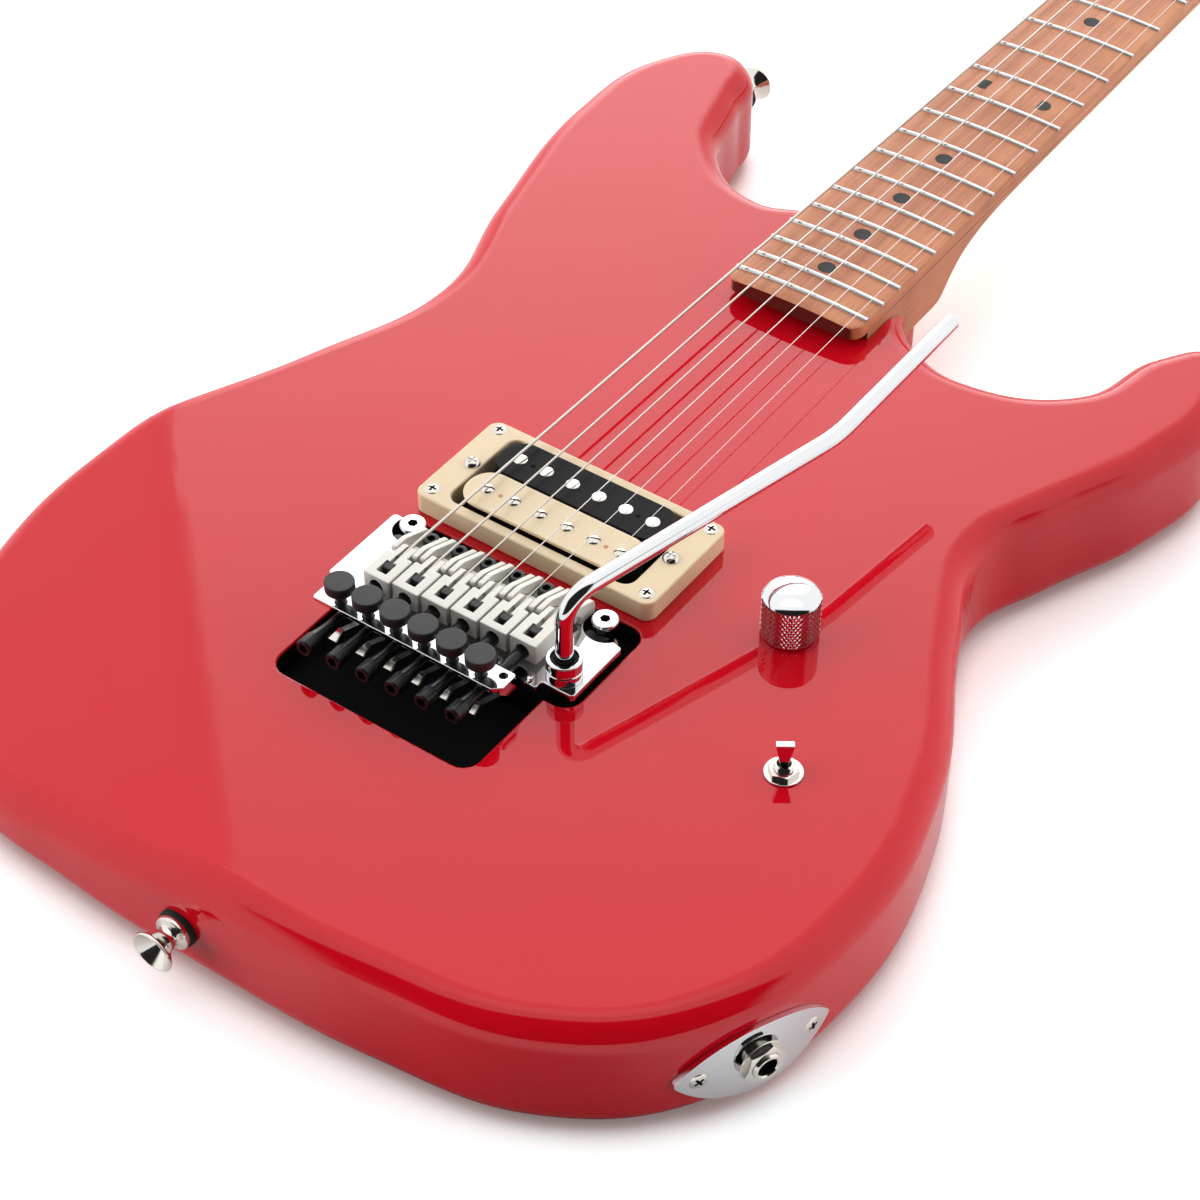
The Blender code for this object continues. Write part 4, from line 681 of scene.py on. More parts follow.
def outline_slab(name, points, low, high, grow=0.0, round_edge=0.0, steps=12, edge_steps=6):
    """A slab with a smooth curved outline, and rounded edges if a radius is given."""
    curve = bpy.data.curves.new(name, "CURVE")
    curve.dimensions = "2D"
    curve.fill_mode = "BOTH"
    curve.extrude = ((high - low) / 2 - round_edge) * MM
    curve.bevel_depth = round_edge * MM
    curve.bevel_resolution = edge_steps
    curve.offset = (grow - round_edge) * MM
    curve.resolution_u = steps
    spline = curve.splines.new("BEZIER")
    spline.bezier_points.add(len(points) - 1)
    for knot, (x, y) in zip(spline.bezier_points, points):
        knot.co = (x * MM, y * MM, 0)
        knot.handle_left_type = "AUTO"
        knot.handle_right_type = "AUTO"
    spline.use_cyclic_u = True
    guide = add_object("guide", curve)
    bpy.context.view_layer.update()
    graph = bpy.context.evaluated_depsgraph_get()
    mesh = bpy.data.meshes.new_from_object(guide.evaluated_get(graph))
    bpy.data.objects.remove(guide, do_unlink=True)
    clean(mesh)
    return shifted(add_object(name, mesh), (0, 0, (low + high) / 2))


# Repeats


SOCKET_KINDS = {
    float: "NodeSocketFloat", int: "NodeSocketInt", tuple: "NodeSocketVector",
    bpy.types.Object: "NodeSocketObject", bpy.types.Material: "NodeSocketMaterial",
}


def grown(name, finish_name, sizes, build, host=None):
    """A plain mesh made by a geometry node tree whose named inputs are the sizes."""
    tree = bpy.data.node_groups.new(name, "GeometryNodeTree")
    sizes = {**sizes, "Finish": FINISHES[finish_name]}
    tree.interface.new_socket("Geometry", in_out="INPUT", socket_type="NodeSocketGeometry")
    tree.interface.new_socket("Geometry", in_out="OUTPUT", socket_type="NodeSocketGeometry")
    inputs = {}
    for label, value in sizes.items():
        kind = SOCKET_KINDS[type(value)]
        inputs[label] = tree.interface.new_socket(label, in_out="INPUT", socket_type=kind)
    net = Net(tree)
    entry = tree.nodes.new("NodeGroupInput")
    given = {label: Signal(net, entry.outputs[label]) for label in ("Geometry", *sizes)}
    solid = net.add("GeometryNodeRealizeInstances", {}, {0: build(net, given)})
    painted = net.add("GeometryNodeSetMaterial", {}, {0: solid, "Material": given["Finish"]})
    end = tree.nodes.new("NodeGroupOutput")
    tree.links.new(painted.socket, end.inputs[0])
    piece = host or add_object(name, bpy.data.meshes.new(name))
    piece.name = name
    step = piece.modifiers.new("grown", "NODES")
    step.node_group = tree
    for label, value in sizes.items():
        step[inputs[label].identifier] = value
    return settle(piece)


def placed_copies(net, given):
    shape = net.add("GeometryNodeObjectInfo", {}, {"Object": given["Shape"]}, "Geometry")
    axis = net.add("GeometryNodeInputNamedAttribute", {"data_type": "FLOAT_VECTOR"}, {"Name": "axis"})
    turn = net.add("FunctionNodeAlignRotationToVector", {"axis": "Z"}, {"Vector": axis})
    sockets = {"Points": given["Geometry"], "Instance": shape, "Rotation": turn}
    return net.add("GeometryNodeInstanceOnPoints", {}, sockets)


def set_out(name, shape, finish_name, places, axis=(0, 0, 1)):
    """Copies of a shape at a list of places, each turned from +Z to an axis."""
    mesh = bpy.data.meshes.new(name)
    mesh.from_pydata([Vector(place) * MM for place in places], [], [])
    axes = axis if isinstance(axis, list) else [axis] * len(places)
    attribute = mesh.attributes.new("axis", "FLOAT_VECTOR", "POINT")
    attribute.data.foreach_set("vector", [value for each in axes for value in each])
    host = add_object(name, mesh)
    made = grown(name, finish_name, {"Shape": shape}, placed_copies, host)
    bpy.data.objects.remove(shape, do_unlink=True)
    return made


def fitted(piece, finish_name, *stands_for, body=None, sharp=35, even=True):
    """Gives a piece its finish and its shading, and fixes it to the body that carries it."""
    mesh = piece.data
    if len(mesh.materials) < 2:
        mesh.materials.clear()
        mesh.materials.append(FINISHES[finish_name])
    mesh.name = piece.name
    mesh.shade_smooth()
    mesh.set_sharp_from_angle(angle=math.radians(sharp))
    if even:
        step = piece.modifiers.new("even", "WEIGHTED_NORMAL")
        step.keep_sharp = True
        step.weight = 80
        settle(piece)
        piece.data.name = piece.name
    if body is None:
        body = frame["nodes"][stands_for[0]]["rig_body"] if stands_for else "guitar"
    if body != "blend":
        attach(piece, body)
    if stands_for:
        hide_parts(*stands_for)
    return piece


def scattered(name, shape, finish_name, places, axis=(0, 0, 1), body="guitar"):
    """Copies of a shape as one finished piece."""
    fitted(set_out(name, shape, finish_name, places, axis), finish_name, body=body)


def cross_head(radius, rise):
    """A domed screw head with a cross recess, and a black floor for that recess as painted shade."""
    dome = [(0, rise), (radius * 0.45, rise * 0.9), (radius * 0.8, rise * 0.52), (radius, 0)]
    head = turned("head", smooth_dome([*dome, (radius, -0.4), (0, -0.4)]), steps=28)
    arm, width = radius * 0.56, radius * 0.15
    depth = rise * 0.25
    for x, y in ((arm, width), (width, arm)):
        carve(head, block("cut", (-x, -y, depth), (x, y, rise + 1)))
    arm, width = arm * 0.97, width * 0.96
    floor = []
    for x, y in ((arm, width), (width, arm)):
        floor.append(block("floor", (-x, -y, depth - 0.2), (x, y, depth + 0.08)))
    return head, weld(*floor)


def smooth_dome(profile):
    return smooth_rows(profile[:4], 3) + profile[4:]


def cross_screws(name, radius, rise, places, axis=(0, 0, 1), metal_name="bright_nickel"):
    head, floor = cross_head(radius, rise)
    scattered(name, head, metal_name, places, axis)
    scattered(name + "_recesses", floor, "lacquer_black", places, axis)


def hex_head(radius, low, high, socket, edge=0.4):
    """A round head with a six-sided socket, and a black floor for the socket as painted shade."""
    corners = filleted([(0, high), (radius, high), (radius, low), (0, low)], edge, closed=False, steps=3)
    head = turned("head", corners, steps=36)
    depth = (high - low) * 0.75
    carve(head, prism("cut", hexagon(socket), high - depth, high + 1))
    return head, prism("floor", hexagon(socket * 0.98), high - depth - 0.1, high - depth + 0.15)


def hex_screws(name, sizes, places, finish_name):
    head, floor = hex_head(*sizes)
    scattered(name, head, finish_name, places)
    scattered(name + "_sockets", floor, "lacquer_black", places)


# Layout


def fret_y(number):
    return SCALE_LENGTH * 2 ** (-number / 12)


def neck_half_width(y):
    return LAST_FRET_HALF_WIDTH - NECK_TAPER * (y - LAST_FRET_Y)


def crown(x, half_width):
    """Height of the fretboard's round top above its own edges."""
    return math.sqrt(BOARD_RADIUS**2 - x**2) - math.sqrt(BOARD_RADIUS**2 - half_width**2)


def string_x(number, y):
    return (3.5 - number) * (BRIDGE_SPACING - SPACING_LOSS * y / SCALE_LENGTH)


def string_lift(number, y):
    at_nut = NUT_LIFT - crown(0, NUT_HALF_WIDTH) + crown(string_x(number, SCALE_LENGTH), NUT_HALF_WIDTH)
    return SADDLE_LIFT + (at_nut - SADDLE_LIFT) * y / SCALE_LENGTH


def post_place(number):
    y = SCALE_LENGTH + POST_REACH + (6 - number) * POST_PITCH
    return string_x(number, y) - POST_SIDE - STRING_DIAMETERS[number - 1] / 2, y


def saddle_offset(number):
    """How far a saddle is set forward for its string's intonation."""
    return -SADDLE_SETBACK + SADDLE_STEP * (6 - number)


POST_ALONG = (Vector(post_place(1)) - Vector(post_place(6))).normalized()
ALONG = Vector((*POST_ALONG, 0))
OUTWARD = Vector((-POST_ALONG.y, POST_ALONG.x, 0))


# Body


def contour_drop(distance):
    """How far the forearm contour has dropped at a distance past its crease."""
    if distance <= 0:
        return 0.0
    if distance < CONTOUR_BLEND:
        return CONTOUR_SLOPE * distance**2 / (2 * CONTOUR_BLEND)
    return CONTOUR_SLOPE * (distance - CONTOUR_BLEND / 2)


def shape_forearm_contour(body):
    start, end = Vector((*CONTOUR_START, 0)) * MM, Vector((*CONTOUR_END, 0)) * MM
    outward = (end - start).normalized().cross(Vector((0, 0, 1)))
    if outward.x > 0:
        outward.negate()
    bm = bmesh.new()
    bm.from_mesh(body.data)
    for i in range(CONTOUR_CUTS + 1):
        place = start + outward * (CONTOUR_BLEND / CONTOUR_CUTS * i * MM)
        geometry = [*bm.verts, *bm.edges, *bm.faces]
        bmesh.ops.bisect_plane(bm, geom=geometry, dist=1e-6, plane_co=place, plane_no=outward)
    for vert in bm.verts:
        if vert.co.z > TOP / 2 * MM:
            flat = Vector((vert.co.x, vert.co.y, 0))
            vert.co.z -= contour_drop((flat - start).dot(outward) / MM) * MM
    bmesh.ops.dissolve_limit(bm, angle_limit=math.radians(0.3), verts=bm.verts, edges=bm.edges)
    bm.to_mesh(body.data)
    bm.free()


def body_cutters():
    rear, front = HEEL_Y - CLEARANCE, HEEL_Y + 124
    half_rear, half_front = neck_half_width(rear) + CLEARANCE, neck_half_width(front) + CLEARANCE
    pocket = [(-half_rear, rear), (half_rear, rear), (half_front, front), (-half_front, front)]
    ledge = TOP - 42.7
    mouth = JACK_PLACE + JACK_AXIS * 8
    cutters = [
        prism("pocket", pocket, NECK_TOP - HEEL_DEPTH - CLEARANCE, BOARD_EDGE),
        block("recess", (-48.6, -24.5, RECESS_FLOOR), (48.6, 17, TOP + 2), 6),
        block("tail", (-38.5, -62, RECESS_FLOOR), (38.5, -18.5, TOP + 2), 6),
        block("slot", (-33.5, -26, -2), (33.5, 14, RECESS_FLOOR + 2)),
        block("spring_room", (-29, 12, -2), (29, 118, 22.2), 6),
        block("pickup_room", (-36.5, RING_Y - 19.5, 27), (36.5, RING_Y + 19.5, TOP + 2)),
        block("pickup_ears", (-42.3, RING_Y - 7.5, 26.7), (42.3, RING_Y + 7.5, TOP + 2)),
        block("cover_ledge", (-39.9, -32.4, -2), (39.9, 124.4, ledge), 5),
        block("plate_ledge", (-26.4, HEEL_Y + 4.6, -2), (16.4, HEEL_Y + 49.4, ledge), 5),
        outline_slab("control_room", CONTROL_OUTLINE, -2, 39),
        outline_slab("control_ledge", CONTROL_OUTLINE, -2, ledge, grow=6.4),
        plug("pot_hole", 4.9, 37, 47, (*KNOB_PLACE, 0), steps=32),
        plug("toggle_hole", 3.4, 37, 47, (*TOGGLE_PLACE, 0), steps=32),
        plug("jack_bore", 10.5, -58, 0, mouth, JACK_AXIS),
    ]
    for side in (-1, 1):
        cutters.append(plug("stud_hole", 3.2, 12.5, 38.5, (side * STUD_X, STUD_Y, 0), steps=32))
    for cutter in cutters:
        cutter.data.materials.append(FINISHES["red_gloss" if cutter is cutters[0] else "lacquer_black"])
    return cutters


def round_recess_rim(body):
    """A small painted radius where the top meets the tremolo recess."""
    bm = bmesh.new()
    bm.from_mesh(body.data)
    rim = []
    for edge in bm.edges:
        ends = [vert.co / MM for vert in edge.verts]
        level = all(abs(end.z - TOP) < 0.01 for end in ends)
        near = all(abs(end.x) < 48.8 and -62.2 < end.y < 17.2 for end in ends)
        if level and near and len({face.material_index for face in edge.link_faces}) > 1:
            rim.append(edge)
    bmesh.ops.bevel(bm, geom=rim, offset=0.7 * MM, segments=3, profile=0.5, affect="EDGES", material=0)
    bm.to_mesh(body.data)
    bm.free()


def make_body():
    body = outline_slab("body_shell", OUTLINE, 0, TOP, round_edge=10.0, edge_steps=8)
    shape_forearm_contour(body)
    body.data.materials.append(FINISHES["red_gloss"])
    body.data.materials.append(FINISHES["lacquer_black"])
    carve(body, *body_cutters())
    round_recess_rim(body)
    fitted(body, "red_gloss", "body", sharp=32)


# Neck


def neck_ring(y, left, right, top, depth, squareness, count=36):
    """A section of the neck: flat on top, with a rounded or nearly square underside."""
    points = []
    for i in range(count + 1):
        angle = math.pi * i / count
        across = math.copysign(abs(math.cos(angle)) ** (2 / squareness), math.cos(angle))
        down = math.sin(angle) ** (2 / squareness) if 0 < i < count else 0.0
        points.append(((left + right) / 2 + across * (right - left) / 2, y, top - depth * down))
    return points


def head_rows():
    """The headstock's edges, from the nut to the tip."""
    flare = ((13, 0, 0), (22, -2.5, 0.5), (32, -8.5, 2))
    rows = [(SCALE_LENGTH + y, left - NUT_HALF_WIDTH, right + NUT_HALF_WIDTH) for y, left, right in flare]
    for number, left, right in ((6, -13.0, 45.5), (5, -13.5, 44.3), (3, -13.9, 39.3), (1, -13.5, 31.7)):
        x, y = post_place(number)
        rows.append((y, x + left, x + right))
    x, y = post_place(1)
    tip = ((14.5, -9.1, 30.4), (23.5, -2.6, 25.4), (28.5, 5.4, 18.4))
    return rows + [(y + reach, x + left, x + right) for reach, left, right in tip]


def make_neck():
    nut_end = SCALE_LENGTH + 11.3
    shaft = [
        (HEEL_Y + y, depth, squareness)
        for y, depth, squareness in (
            (0, HEEL_DEPTH, 24), (30, HEEL_DEPTH, 24), (43, HEEL_DEPTH, 24), (53, HEEL_DEPTH, 20),
            (59, 20.6, 9), (65, 17.6, 5.5), (71, 15.4, 4), (78, 14.4, 3.1), (86, 14.0, 2.5), (96, 13.7, 2.2),
            (110, 13.2, 2.05), (133, 12.7, 2.0), (258, 12.4, 2.0),
        )
    ]
    shaft += [(SCALE_LENGTH - 30, 12.6, 2.1), (SCALE_LENGTH, 13.6, 2.6), (nut_end, 15.5, 4.0)]
    rings = []
    for y, depth, squareness in eased_rows(shaft, 6):
        half = neck_half_width(min(y, SCALE_LENGTH))
        rings.append(neck_ring(y, -half, half, NECK_TOP, depth, squareness))
    for y, left, right in smooth_rows(head_rows(), 8):
        ramp = min(1.0, max(0.0, (y - nut_end) / 8))
        ramp = ramp * ramp * (3 - 2 * ramp)
        top = NECK_TOP + (HEAD_TOP - NECK_TOP) * ramp
        rings.append(neck_ring(y, left, right, top, top - HEAD_BOTTOM, 4.0 + 12.0 * ramp))
    neck = loft("neck_blank", rings)
    truss = block("truss", (-3.2, HEEL_Y + 17.7, 38.9), (3.2, SCALE_LENGTH - 17.7, NECK_TOP + 2))
    posts = [plug("post_hole", 3.3, 30, 50, (*post_place(number), 0), steps=24) for number in STRINGS]
    carve(neck, truss, *posts)
    fitted(soften(neck, 0.6, 2, 50), "roasted_neck", "neck", sharp=40)


def make_board():
    """The fretboard without its frets: a round top, rolled edges and a rounded end."""
    rows, corner, steps = [], 5.5, 60
    for k in range(9):
        angle = math.pi / 2 * k / 8
        y = BOARD_END_Y + corner * (1 - math.cos(angle)) + 0.001 * k
        rows.append((y, corner * (1 - math.sin(angle)), 0.5 * math.cos(angle) ** 3))
    start, end = BOARD_END_Y + corner + 0.6, SCALE_LENGTH - CLEARANCE
    rows += [(start + (end - start) * k / steps, 0.0, 0.0) for k in range(steps + 1)]
    rings = []
    for y, narrower, lower in rows:
        half = neck_half_width(y)
        edge = half - narrower
        side = BOARD_EDGE - lower
        ring = [(edge, y, BOARD_BOTTOM), (-edge, y, BOARD_BOTTOM)]
        ring += [(-edge, y, side - 0.8), (-edge + 0.25, y, side - 0.22)]
        for i in range(15):
            x = (edge - 0.9) * (2 * i / 14 - 1)
            ring.append((x, y, side + crown(x, half)))
        ring += [(edge - 0.25, y, side - 0.22), (edge, y, side - 0.8)]
        rings.append(ring)
    fitted(loft("fretboard_blank", rings), "roasted_board", "fretboard", sharp=50)


def fret_rule(net, given):
    """Fret wires at the twelfth-root spacing, bent to the board's crown."""
    row = net.add("GeometryNodeMeshLine", {}, {"Count": given["Count"], "Offset": (0, 0, 0)})
    number = net.add("GeometryNodeInputIndex") + 1.0
    along = given["Scale length"] * 2.0 ** (number * (-1 / 12))
    row = net.add("GeometryNodeSetPosition", {}, {"Geometry": row, "Position": net.xyz(y=along)})
    strip = net.add("GeometryNodeCurvePrimitiveLine", {}, {"Start": (-1, 0, 0), "End": (1, 0, 0)})
    strip = net.add("GeometryNodeResampleCurve", {}, {"Curve": strip, "Count": 15})
    half = given["Nut half width"] + given["Taper"] * (given["Scale length"] - along) - given["Inset"]
    sockets = {"Points": row, "Instance": strip, "Scale": net.xyz(half, 1.0, 1.0)}
    strips = net.add("GeometryNodeInstanceOnPoints", {}, sockets)
    strips = net.add("GeometryNodeRealizeInstances", {}, {0: strips})
    x, y, _ = net.split(net.add("GeometryNodeInputPosition"))
    edge = given["Nut half width"] + given["Taper"] * (given["Scale length"] - y)
    rise = (edge * edge - x * x) / (2.0 * given["Crown radius"]) + given["Board edge"]
    strips = net.add("GeometryNodeSetPosition", {}, {"Geometry": strips, "Offset": net.xyz(z=rise)})
    strips = net.add("GeometryNodeSetCurveNormal", {"mode": "Z_UP"}, {"Curve": strips})
    bead = net.add("GeometryNodeCurvePrimitiveCircle", {}, {"Resolution": 18, "Radius": 1.0}, "Curve")
    shape = net.xyz(given["Half width"], given["Height"], 1.0)
    bead = net.add("GeometryNodeTransform", {}, {"Geometry": bead, "Scale": shape})
    return net.add("GeometryNodeCurveToMesh", {}, {"Curve": strips, "Profile Curve": bead, "Fill Caps": True})


def make_frets():
    sizes = {
        "Count": FRET_COUNT, "Scale length": SCALE_LENGTH * MM, "Nut half width": NUT_HALF_WIDTH * MM,
        "Taper": NECK_TAPER, "Inset": 0.25 * MM, "Crown radius": BOARD_RADIUS * MM,
        "Board edge": BOARD_EDGE * MM, "Half width": 1.1 * MM, "Height": 0.95 * MM,
    }
    fitted(grown("fret_wires", "fret_nickel", sizes, fret_rule), "fret_nickel", sharp=60)


def make_dots():
    places = []
    sides = []
    for number in (3, 5, 7, 9, 12, 15, 17, 19, 21):
        y = (fret_y(number) + fret_y(number - 1)) / 2
        half = neck_half_width(y)
        for x in (-12.47, 12.47) if number == 12 else (0.0,):
            places.append((x, y, BOARD_EDGE + crown(x, half)))
        for shift in (-3.5, 3.5) if number == 12 else (0.0,):
            sides.append((-neck_half_width(y + shift), y + shift, BOARD_BOTTOM + 2.6))
    disc = filleted([(0, 0.06), (3.25, 0.06), (3.25, -0.6), (0, -0.6)], 0.05, closed=False, steps=2)
    scattered("position_dots", turned("dot", disc, steps=36), "inlay_black", places)
    scattered("side_dots", plug("dot", 1.0, -0.5, 0.05, steps=20), "inlay_black", sides, (-1, 0, 0))


def make_nut():
    low, high = NECK_TOP + CLEARANCE, TOP + 9.2
    profile = [(0, low), (0, high + 0.9), (1.4, high + 0.9), (2.6, high - 0.2), (11, high - 1.0), (11, low)]
    profile = [(SCALE_LENGTH + y, z) for y, z in profile]
    base = soften(side_prism("locking_nut_base", profile, -NUT_HALF_WIDTH, NUT_HALF_WIDTH), 0.35)
    for number in STRINGS:
        x = string_x(number, SCALE_LENGTH)
        low_end, high_end = (x - 0.7, SCALE_LENGTH - 1, TOP + 9.8), (x + 0.7, SCALE_LENGTH + 4, TOP + 12)
        carve(base, block("groove", low_end, high_end))
    fitted(base, "black_steel", "locking_nut")
    clamp = filleted(rectangle((-5.9, -4.6), (5.9, 4.6)), 1.2)
    clamp = soften(prism("clamp", clamp, TOP + 11.3, TOP + 14.8), 0.7)
    places = [(x, SCALE_LENGTH + 6.2, 0) for x in (-14, 0, 14)]
    scattered("nut_clamps", clamp, "black_steel", places)
    heads = [(x, y, TOP + 14.8) for x, y, _ in places]
    hex_screws("nut_clamp_screws", (3.2, -4.5, 2.6, 1.7), heads, "black_steel")


def make_string_retainer():
    """A round bar that holds the strings down behind the nut, on two screws."""
    path = [(x, RETAINER_Y, TOP + 8.6) for x in (-23, -22, 22, 23)]
    bar = tube("string_retainer", path, [1.2, 2.0, 2.0, 1.2], 20)
    lugs, heads = [], []
    for x in (-RETAINER_X, RETAINER_X):
        rear, front = (x - 3.2, RETAINER_Y - 2.6, HEAD_TOP - 0.5), (x + 3.2, RETAINER_Y + 2.6, TOP + 7.9)
        lugs.append(block("lug", rear, front, 2.2, 0.4))
        heads.append((x, RETAINER_Y, TOP + 10.4))
    fitted(weld(bar, *lugs), "black_steel")
    cross_screws("retainer_screws", 2.4, 0.9, heads, metal_name="black_steel")


# Tuners


def make_tuners():
    turn = Matrix((ALONG, OUTWARD, Vector((0, 0, 1)))).transposed()
    spots = [Vector((*post_place(number), 0)) for number in STRINGS]
    housings = []
    for number, place in zip(STRINGS, spots):
        pad = prism("pad", filleted(rectangle((-9.4, -8.4), (9.4, 8.4)), 3), 30.4, 32.2)
        shell = soften(prism("shell", filleted(rectangle((-7.4, -8.4), (7.4, 8.4)), 3.2), 21.4, 31.0), 1.5, 4)
        profile = [(0, 12.2), (3.1, 12.2), (3.3, 8.0), (3.3, 0), (0, 0)]
        sleeve = turned("sleeve", profile, (0, 0, WORM_Z), (0, 1, 0), 24)
        shell = weld(soften(pad, 0.5), shell, sleeve)
        hole = plug("hole", 3.3, 28.2, 34, steps=24)
        worm = plug("worm", 1.9, 4.5, 13, (0, 0, WORM_Z), (0, 1, 0), 20)
        carve(shell, hole, worm)
        housings.append(shifted(shell, place, turn))
        make_tuner_button(number, place, turn)
        make_tuner_post(number, place)
    fitted(gathered("tuner_housings", housings), "chrome", "tuner_plate")
    profile = [(3.6, 0), (5.6, 0), (5.6, 1.0), (4.9, 2.3), (3.6, 2.3), (3.6, 0)]
    ring = turned("bush", filleted(profile, 0.25, False, 2))
    scattered("post_bushes", ring, "chrome", [spot + Vector((0, 0, HEAD_TOP)) for spot in spots])
    backs = [spot + ALONG * side * 8.2 + Vector((0, 0, 30.4)) for spot in spots for side in (-1, 1)]
    cross_screws("tuner_screws", 1.5, 0.5, backs, (0, 0, -1), "chrome")


def make_tuner_button(number, place, turn):
    """A worm shaft with a waisted, softly pillowed button."""
    shaft = tube("shaft", [(0, y, WORM_Z) for y in (4.8, 12, 22, 27)], [1.6, 1.6, 1.6, 2.4], 20)
    outline = [(-4.5, 25), (-8.5, 29), (-8.4, 33.5), (-5.0, 36), (5.0, 36), (8.4, 33.5), (8.5, 29), (4.5, 25)]
    head = prism("button", filleted(outline, 2.6, steps=6), 22.3, 29.1)
    soften(head, 2.3, 5, 50)
    shaft = weld(shaft, head)
    shaft.name = f"tuner_key_{number}"
    fitted(shifted(shaft, place, turn), "chrome", f"tuner_button_{number}")


def make_tuner_post(number, place):
    top = HEAD_TOP + 16
    profile = [
        (0, top), (3.0, top), (3.0, top - 3.4), (2.5, top - 4.8), (2.5, TOP + 4.6), (3.4, TOP + 2.9),
        (3.4, HEAD_TOP + 0.3), (3.0, HEAD_TOP + 0.3), (3.0, 28.5), (0, 28.5),
    ]
    radii = [0, 0.6, 0.3, 0.8, 0.8, 0.2, 0, 0, 0.2, 0]
    post = turned(f"tuner_shaft_{number}", filleted(profile, radii, False, 3), place, steps=32)
    slot = block("slot", (-0.7, -5, top - 4.6), (0.7, 5, top + 1))
    fitted(carve(post, shifted(slot, place)), "chrome", f"tuner_post_{number}")


# Strings


def make_string(number):
    """From the clamp in its saddle over the nut, under the retainer and a few turns round its post."""
    radius = STRING_DIAMETERS[number - 1] / 2
    post_x, post_y = post_place(number)
    path = [(string_x(number, 0), -12.2 + saddle_offset(number), TOP + 11.9)]
    for y in (-2.4, 2, 5, 8, 11, 14, 17, 20, 24, 30, 60, 120, 250, 400, 550, SCALE_LENGTH):
        path.append((string_x(number, y), y, TOP + string_lift(number, y)))
    past_nut = SCALE_LENGTH + 4
    path.append((string_x(number, past_nut), past_nut, TOP + string_lift(number, SCALE_LENGTH) - 0.2))
    path.append((string_x(number, RETAINER_Y), RETAINER_Y, TOP + 6.5 - radius))
    wrap = 2.5 + radius
    turns, steps, first = 2.6, 16, TOP + 7.4
    path.append((post_x + wrap, post_y, first))
    for k in range(1, int(turns * steps) + 1):
        angle = 2 * math.pi * k / steps
        rise = first - (2 * radius + 0.06) * k / steps
        path.append((post_x + wrap * math.cos(angle), post_y + wrap * math.sin(angle), max(rise, TOP + 4.2)))
    string = tube(f"string_wire_{number}", path, radius, 10)
    name = "string_plain" if number < 4 else "string_wound"
    fitted(string, name, f"string_{number}", body="blend", even=False, sharp=60)
    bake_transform(string)


# Pickup


def make_pickup():
    outer = filleted(rectangle((-46.7, RING_Y - 22.4), (46.7, RING_Y + 22.4)), 4.0, steps=8)
    inner = filleted(rectangle((-36, RING_Y - 18.4), (36, RING_Y + 18.4)), 4.0, steps=8)
    ring = prism("pickup_frame", outer, TOP + 0.05, TOP + 7.7)
    carve(ring, prism("hole", inner, TOP - 2, TOP + 12))
    soften(ring, 0.9, 4)
    ears = (-HEIGHT_SCREW_X, HEIGHT_SCREW_X)
    for x in ears:
        carve(ring, plug("hole", 2.0, TOP - 2, TOP + 9, (x, RING_Y, 0), steps=24))
    fitted(ring, "cream_plastic", "pickup_ring")
    corners = [(x, 43.3 + y, TOP + 7.62) for x in (-42.25, 42.25) for y in (-18.12, 18.12)]
    cross_screws("ring_screws", 2.65, 0.75, corners)
    make_bobbin("slug_coil", "slug_bobbin", SLUG_Y, "black_plastic")
    make_bobbin("screw_coil", "screw_bobbin", SCREW_Y, "cream_plastic")
    slug = turned("slug", filleted([(0, 0.12), (2.45, 0.12), (2.45, -4), (0, -4)], 0.2, False, 3), steps=36)
    poles = [POLE_SPACING * (n - 2.5) for n in range(6)]
    scattered("pole_slugs", slug, "bright_nickel", [(x, SLUG_Y, BOBBIN_TOP) for x in poles])
    dome = [(0, 0.95), (1.3, 0.75), (2.1, 0.3), (2.4, -0.3), (2.4, -2), (0, -2)]
    screw = turned("pole", smooth_dome(dome), steps=36)
    carve(screw, block("slot", (-3, -0.32, 0.05), (3, 0.32, 2)))
    # A black floor in each slot is painted shade.
    floor = block("floor", (-2.3, -0.31, -0.2), (2.3, 0.31, 0.12))
    turn = Matrix.Rotation(math.radians(24), 3, "Z")
    places = [(x, SCREW_Y, BOBBIN_TOP) for x in poles]
    scattered("pole_screws", shifted(screw, turn=turn), "bright_nickel", places)
    scattered("pole_screw_slots", shifted(floor, turn=turn), "lacquer_black", places)
    # Discs in two holes of each bobbin. The black ones in the slug bobbin are painted shade.
    for name, radius, y, finish_name in (
        ("slug_coil_holes", 0.85, SLUG_Y, "lacquer_black"),
        ("screw_coil_holes", 0.8, SCREW_Y, "roasted_neck"),
    ):
        holes = [(x, y - 0.4, BOBBIN_TOP) for x in (-POLE_SPACING * 1.98, POLE_SPACING * 1.98)]
        scattered(name, plug("pin", radius, -1, 0.03, steps=20), finish_name, holes)
    plate = soften(block("pickup_base", (-35, 24.8, 35.2), (35, 60.8, 38.8), 2), 0.4)
    legs = soften(block("legs", (-42.3, RING_Y - 7, 35.4), (42.3, RING_Y + 7, 38.6), 2), 0.4)
    rods = [plug("rod", 1.5, 35, 54, (x, RING_Y, 0), steps=20) for x in ears]
    fitted(gathered("pickup_base", [plate, legs, *rods]), "cast_zinc", "pickup_baseplate")
    cross_screws("height_screws", 2.9, 1.7, [(x, RING_Y, TOP + 7.75) for x in ears])


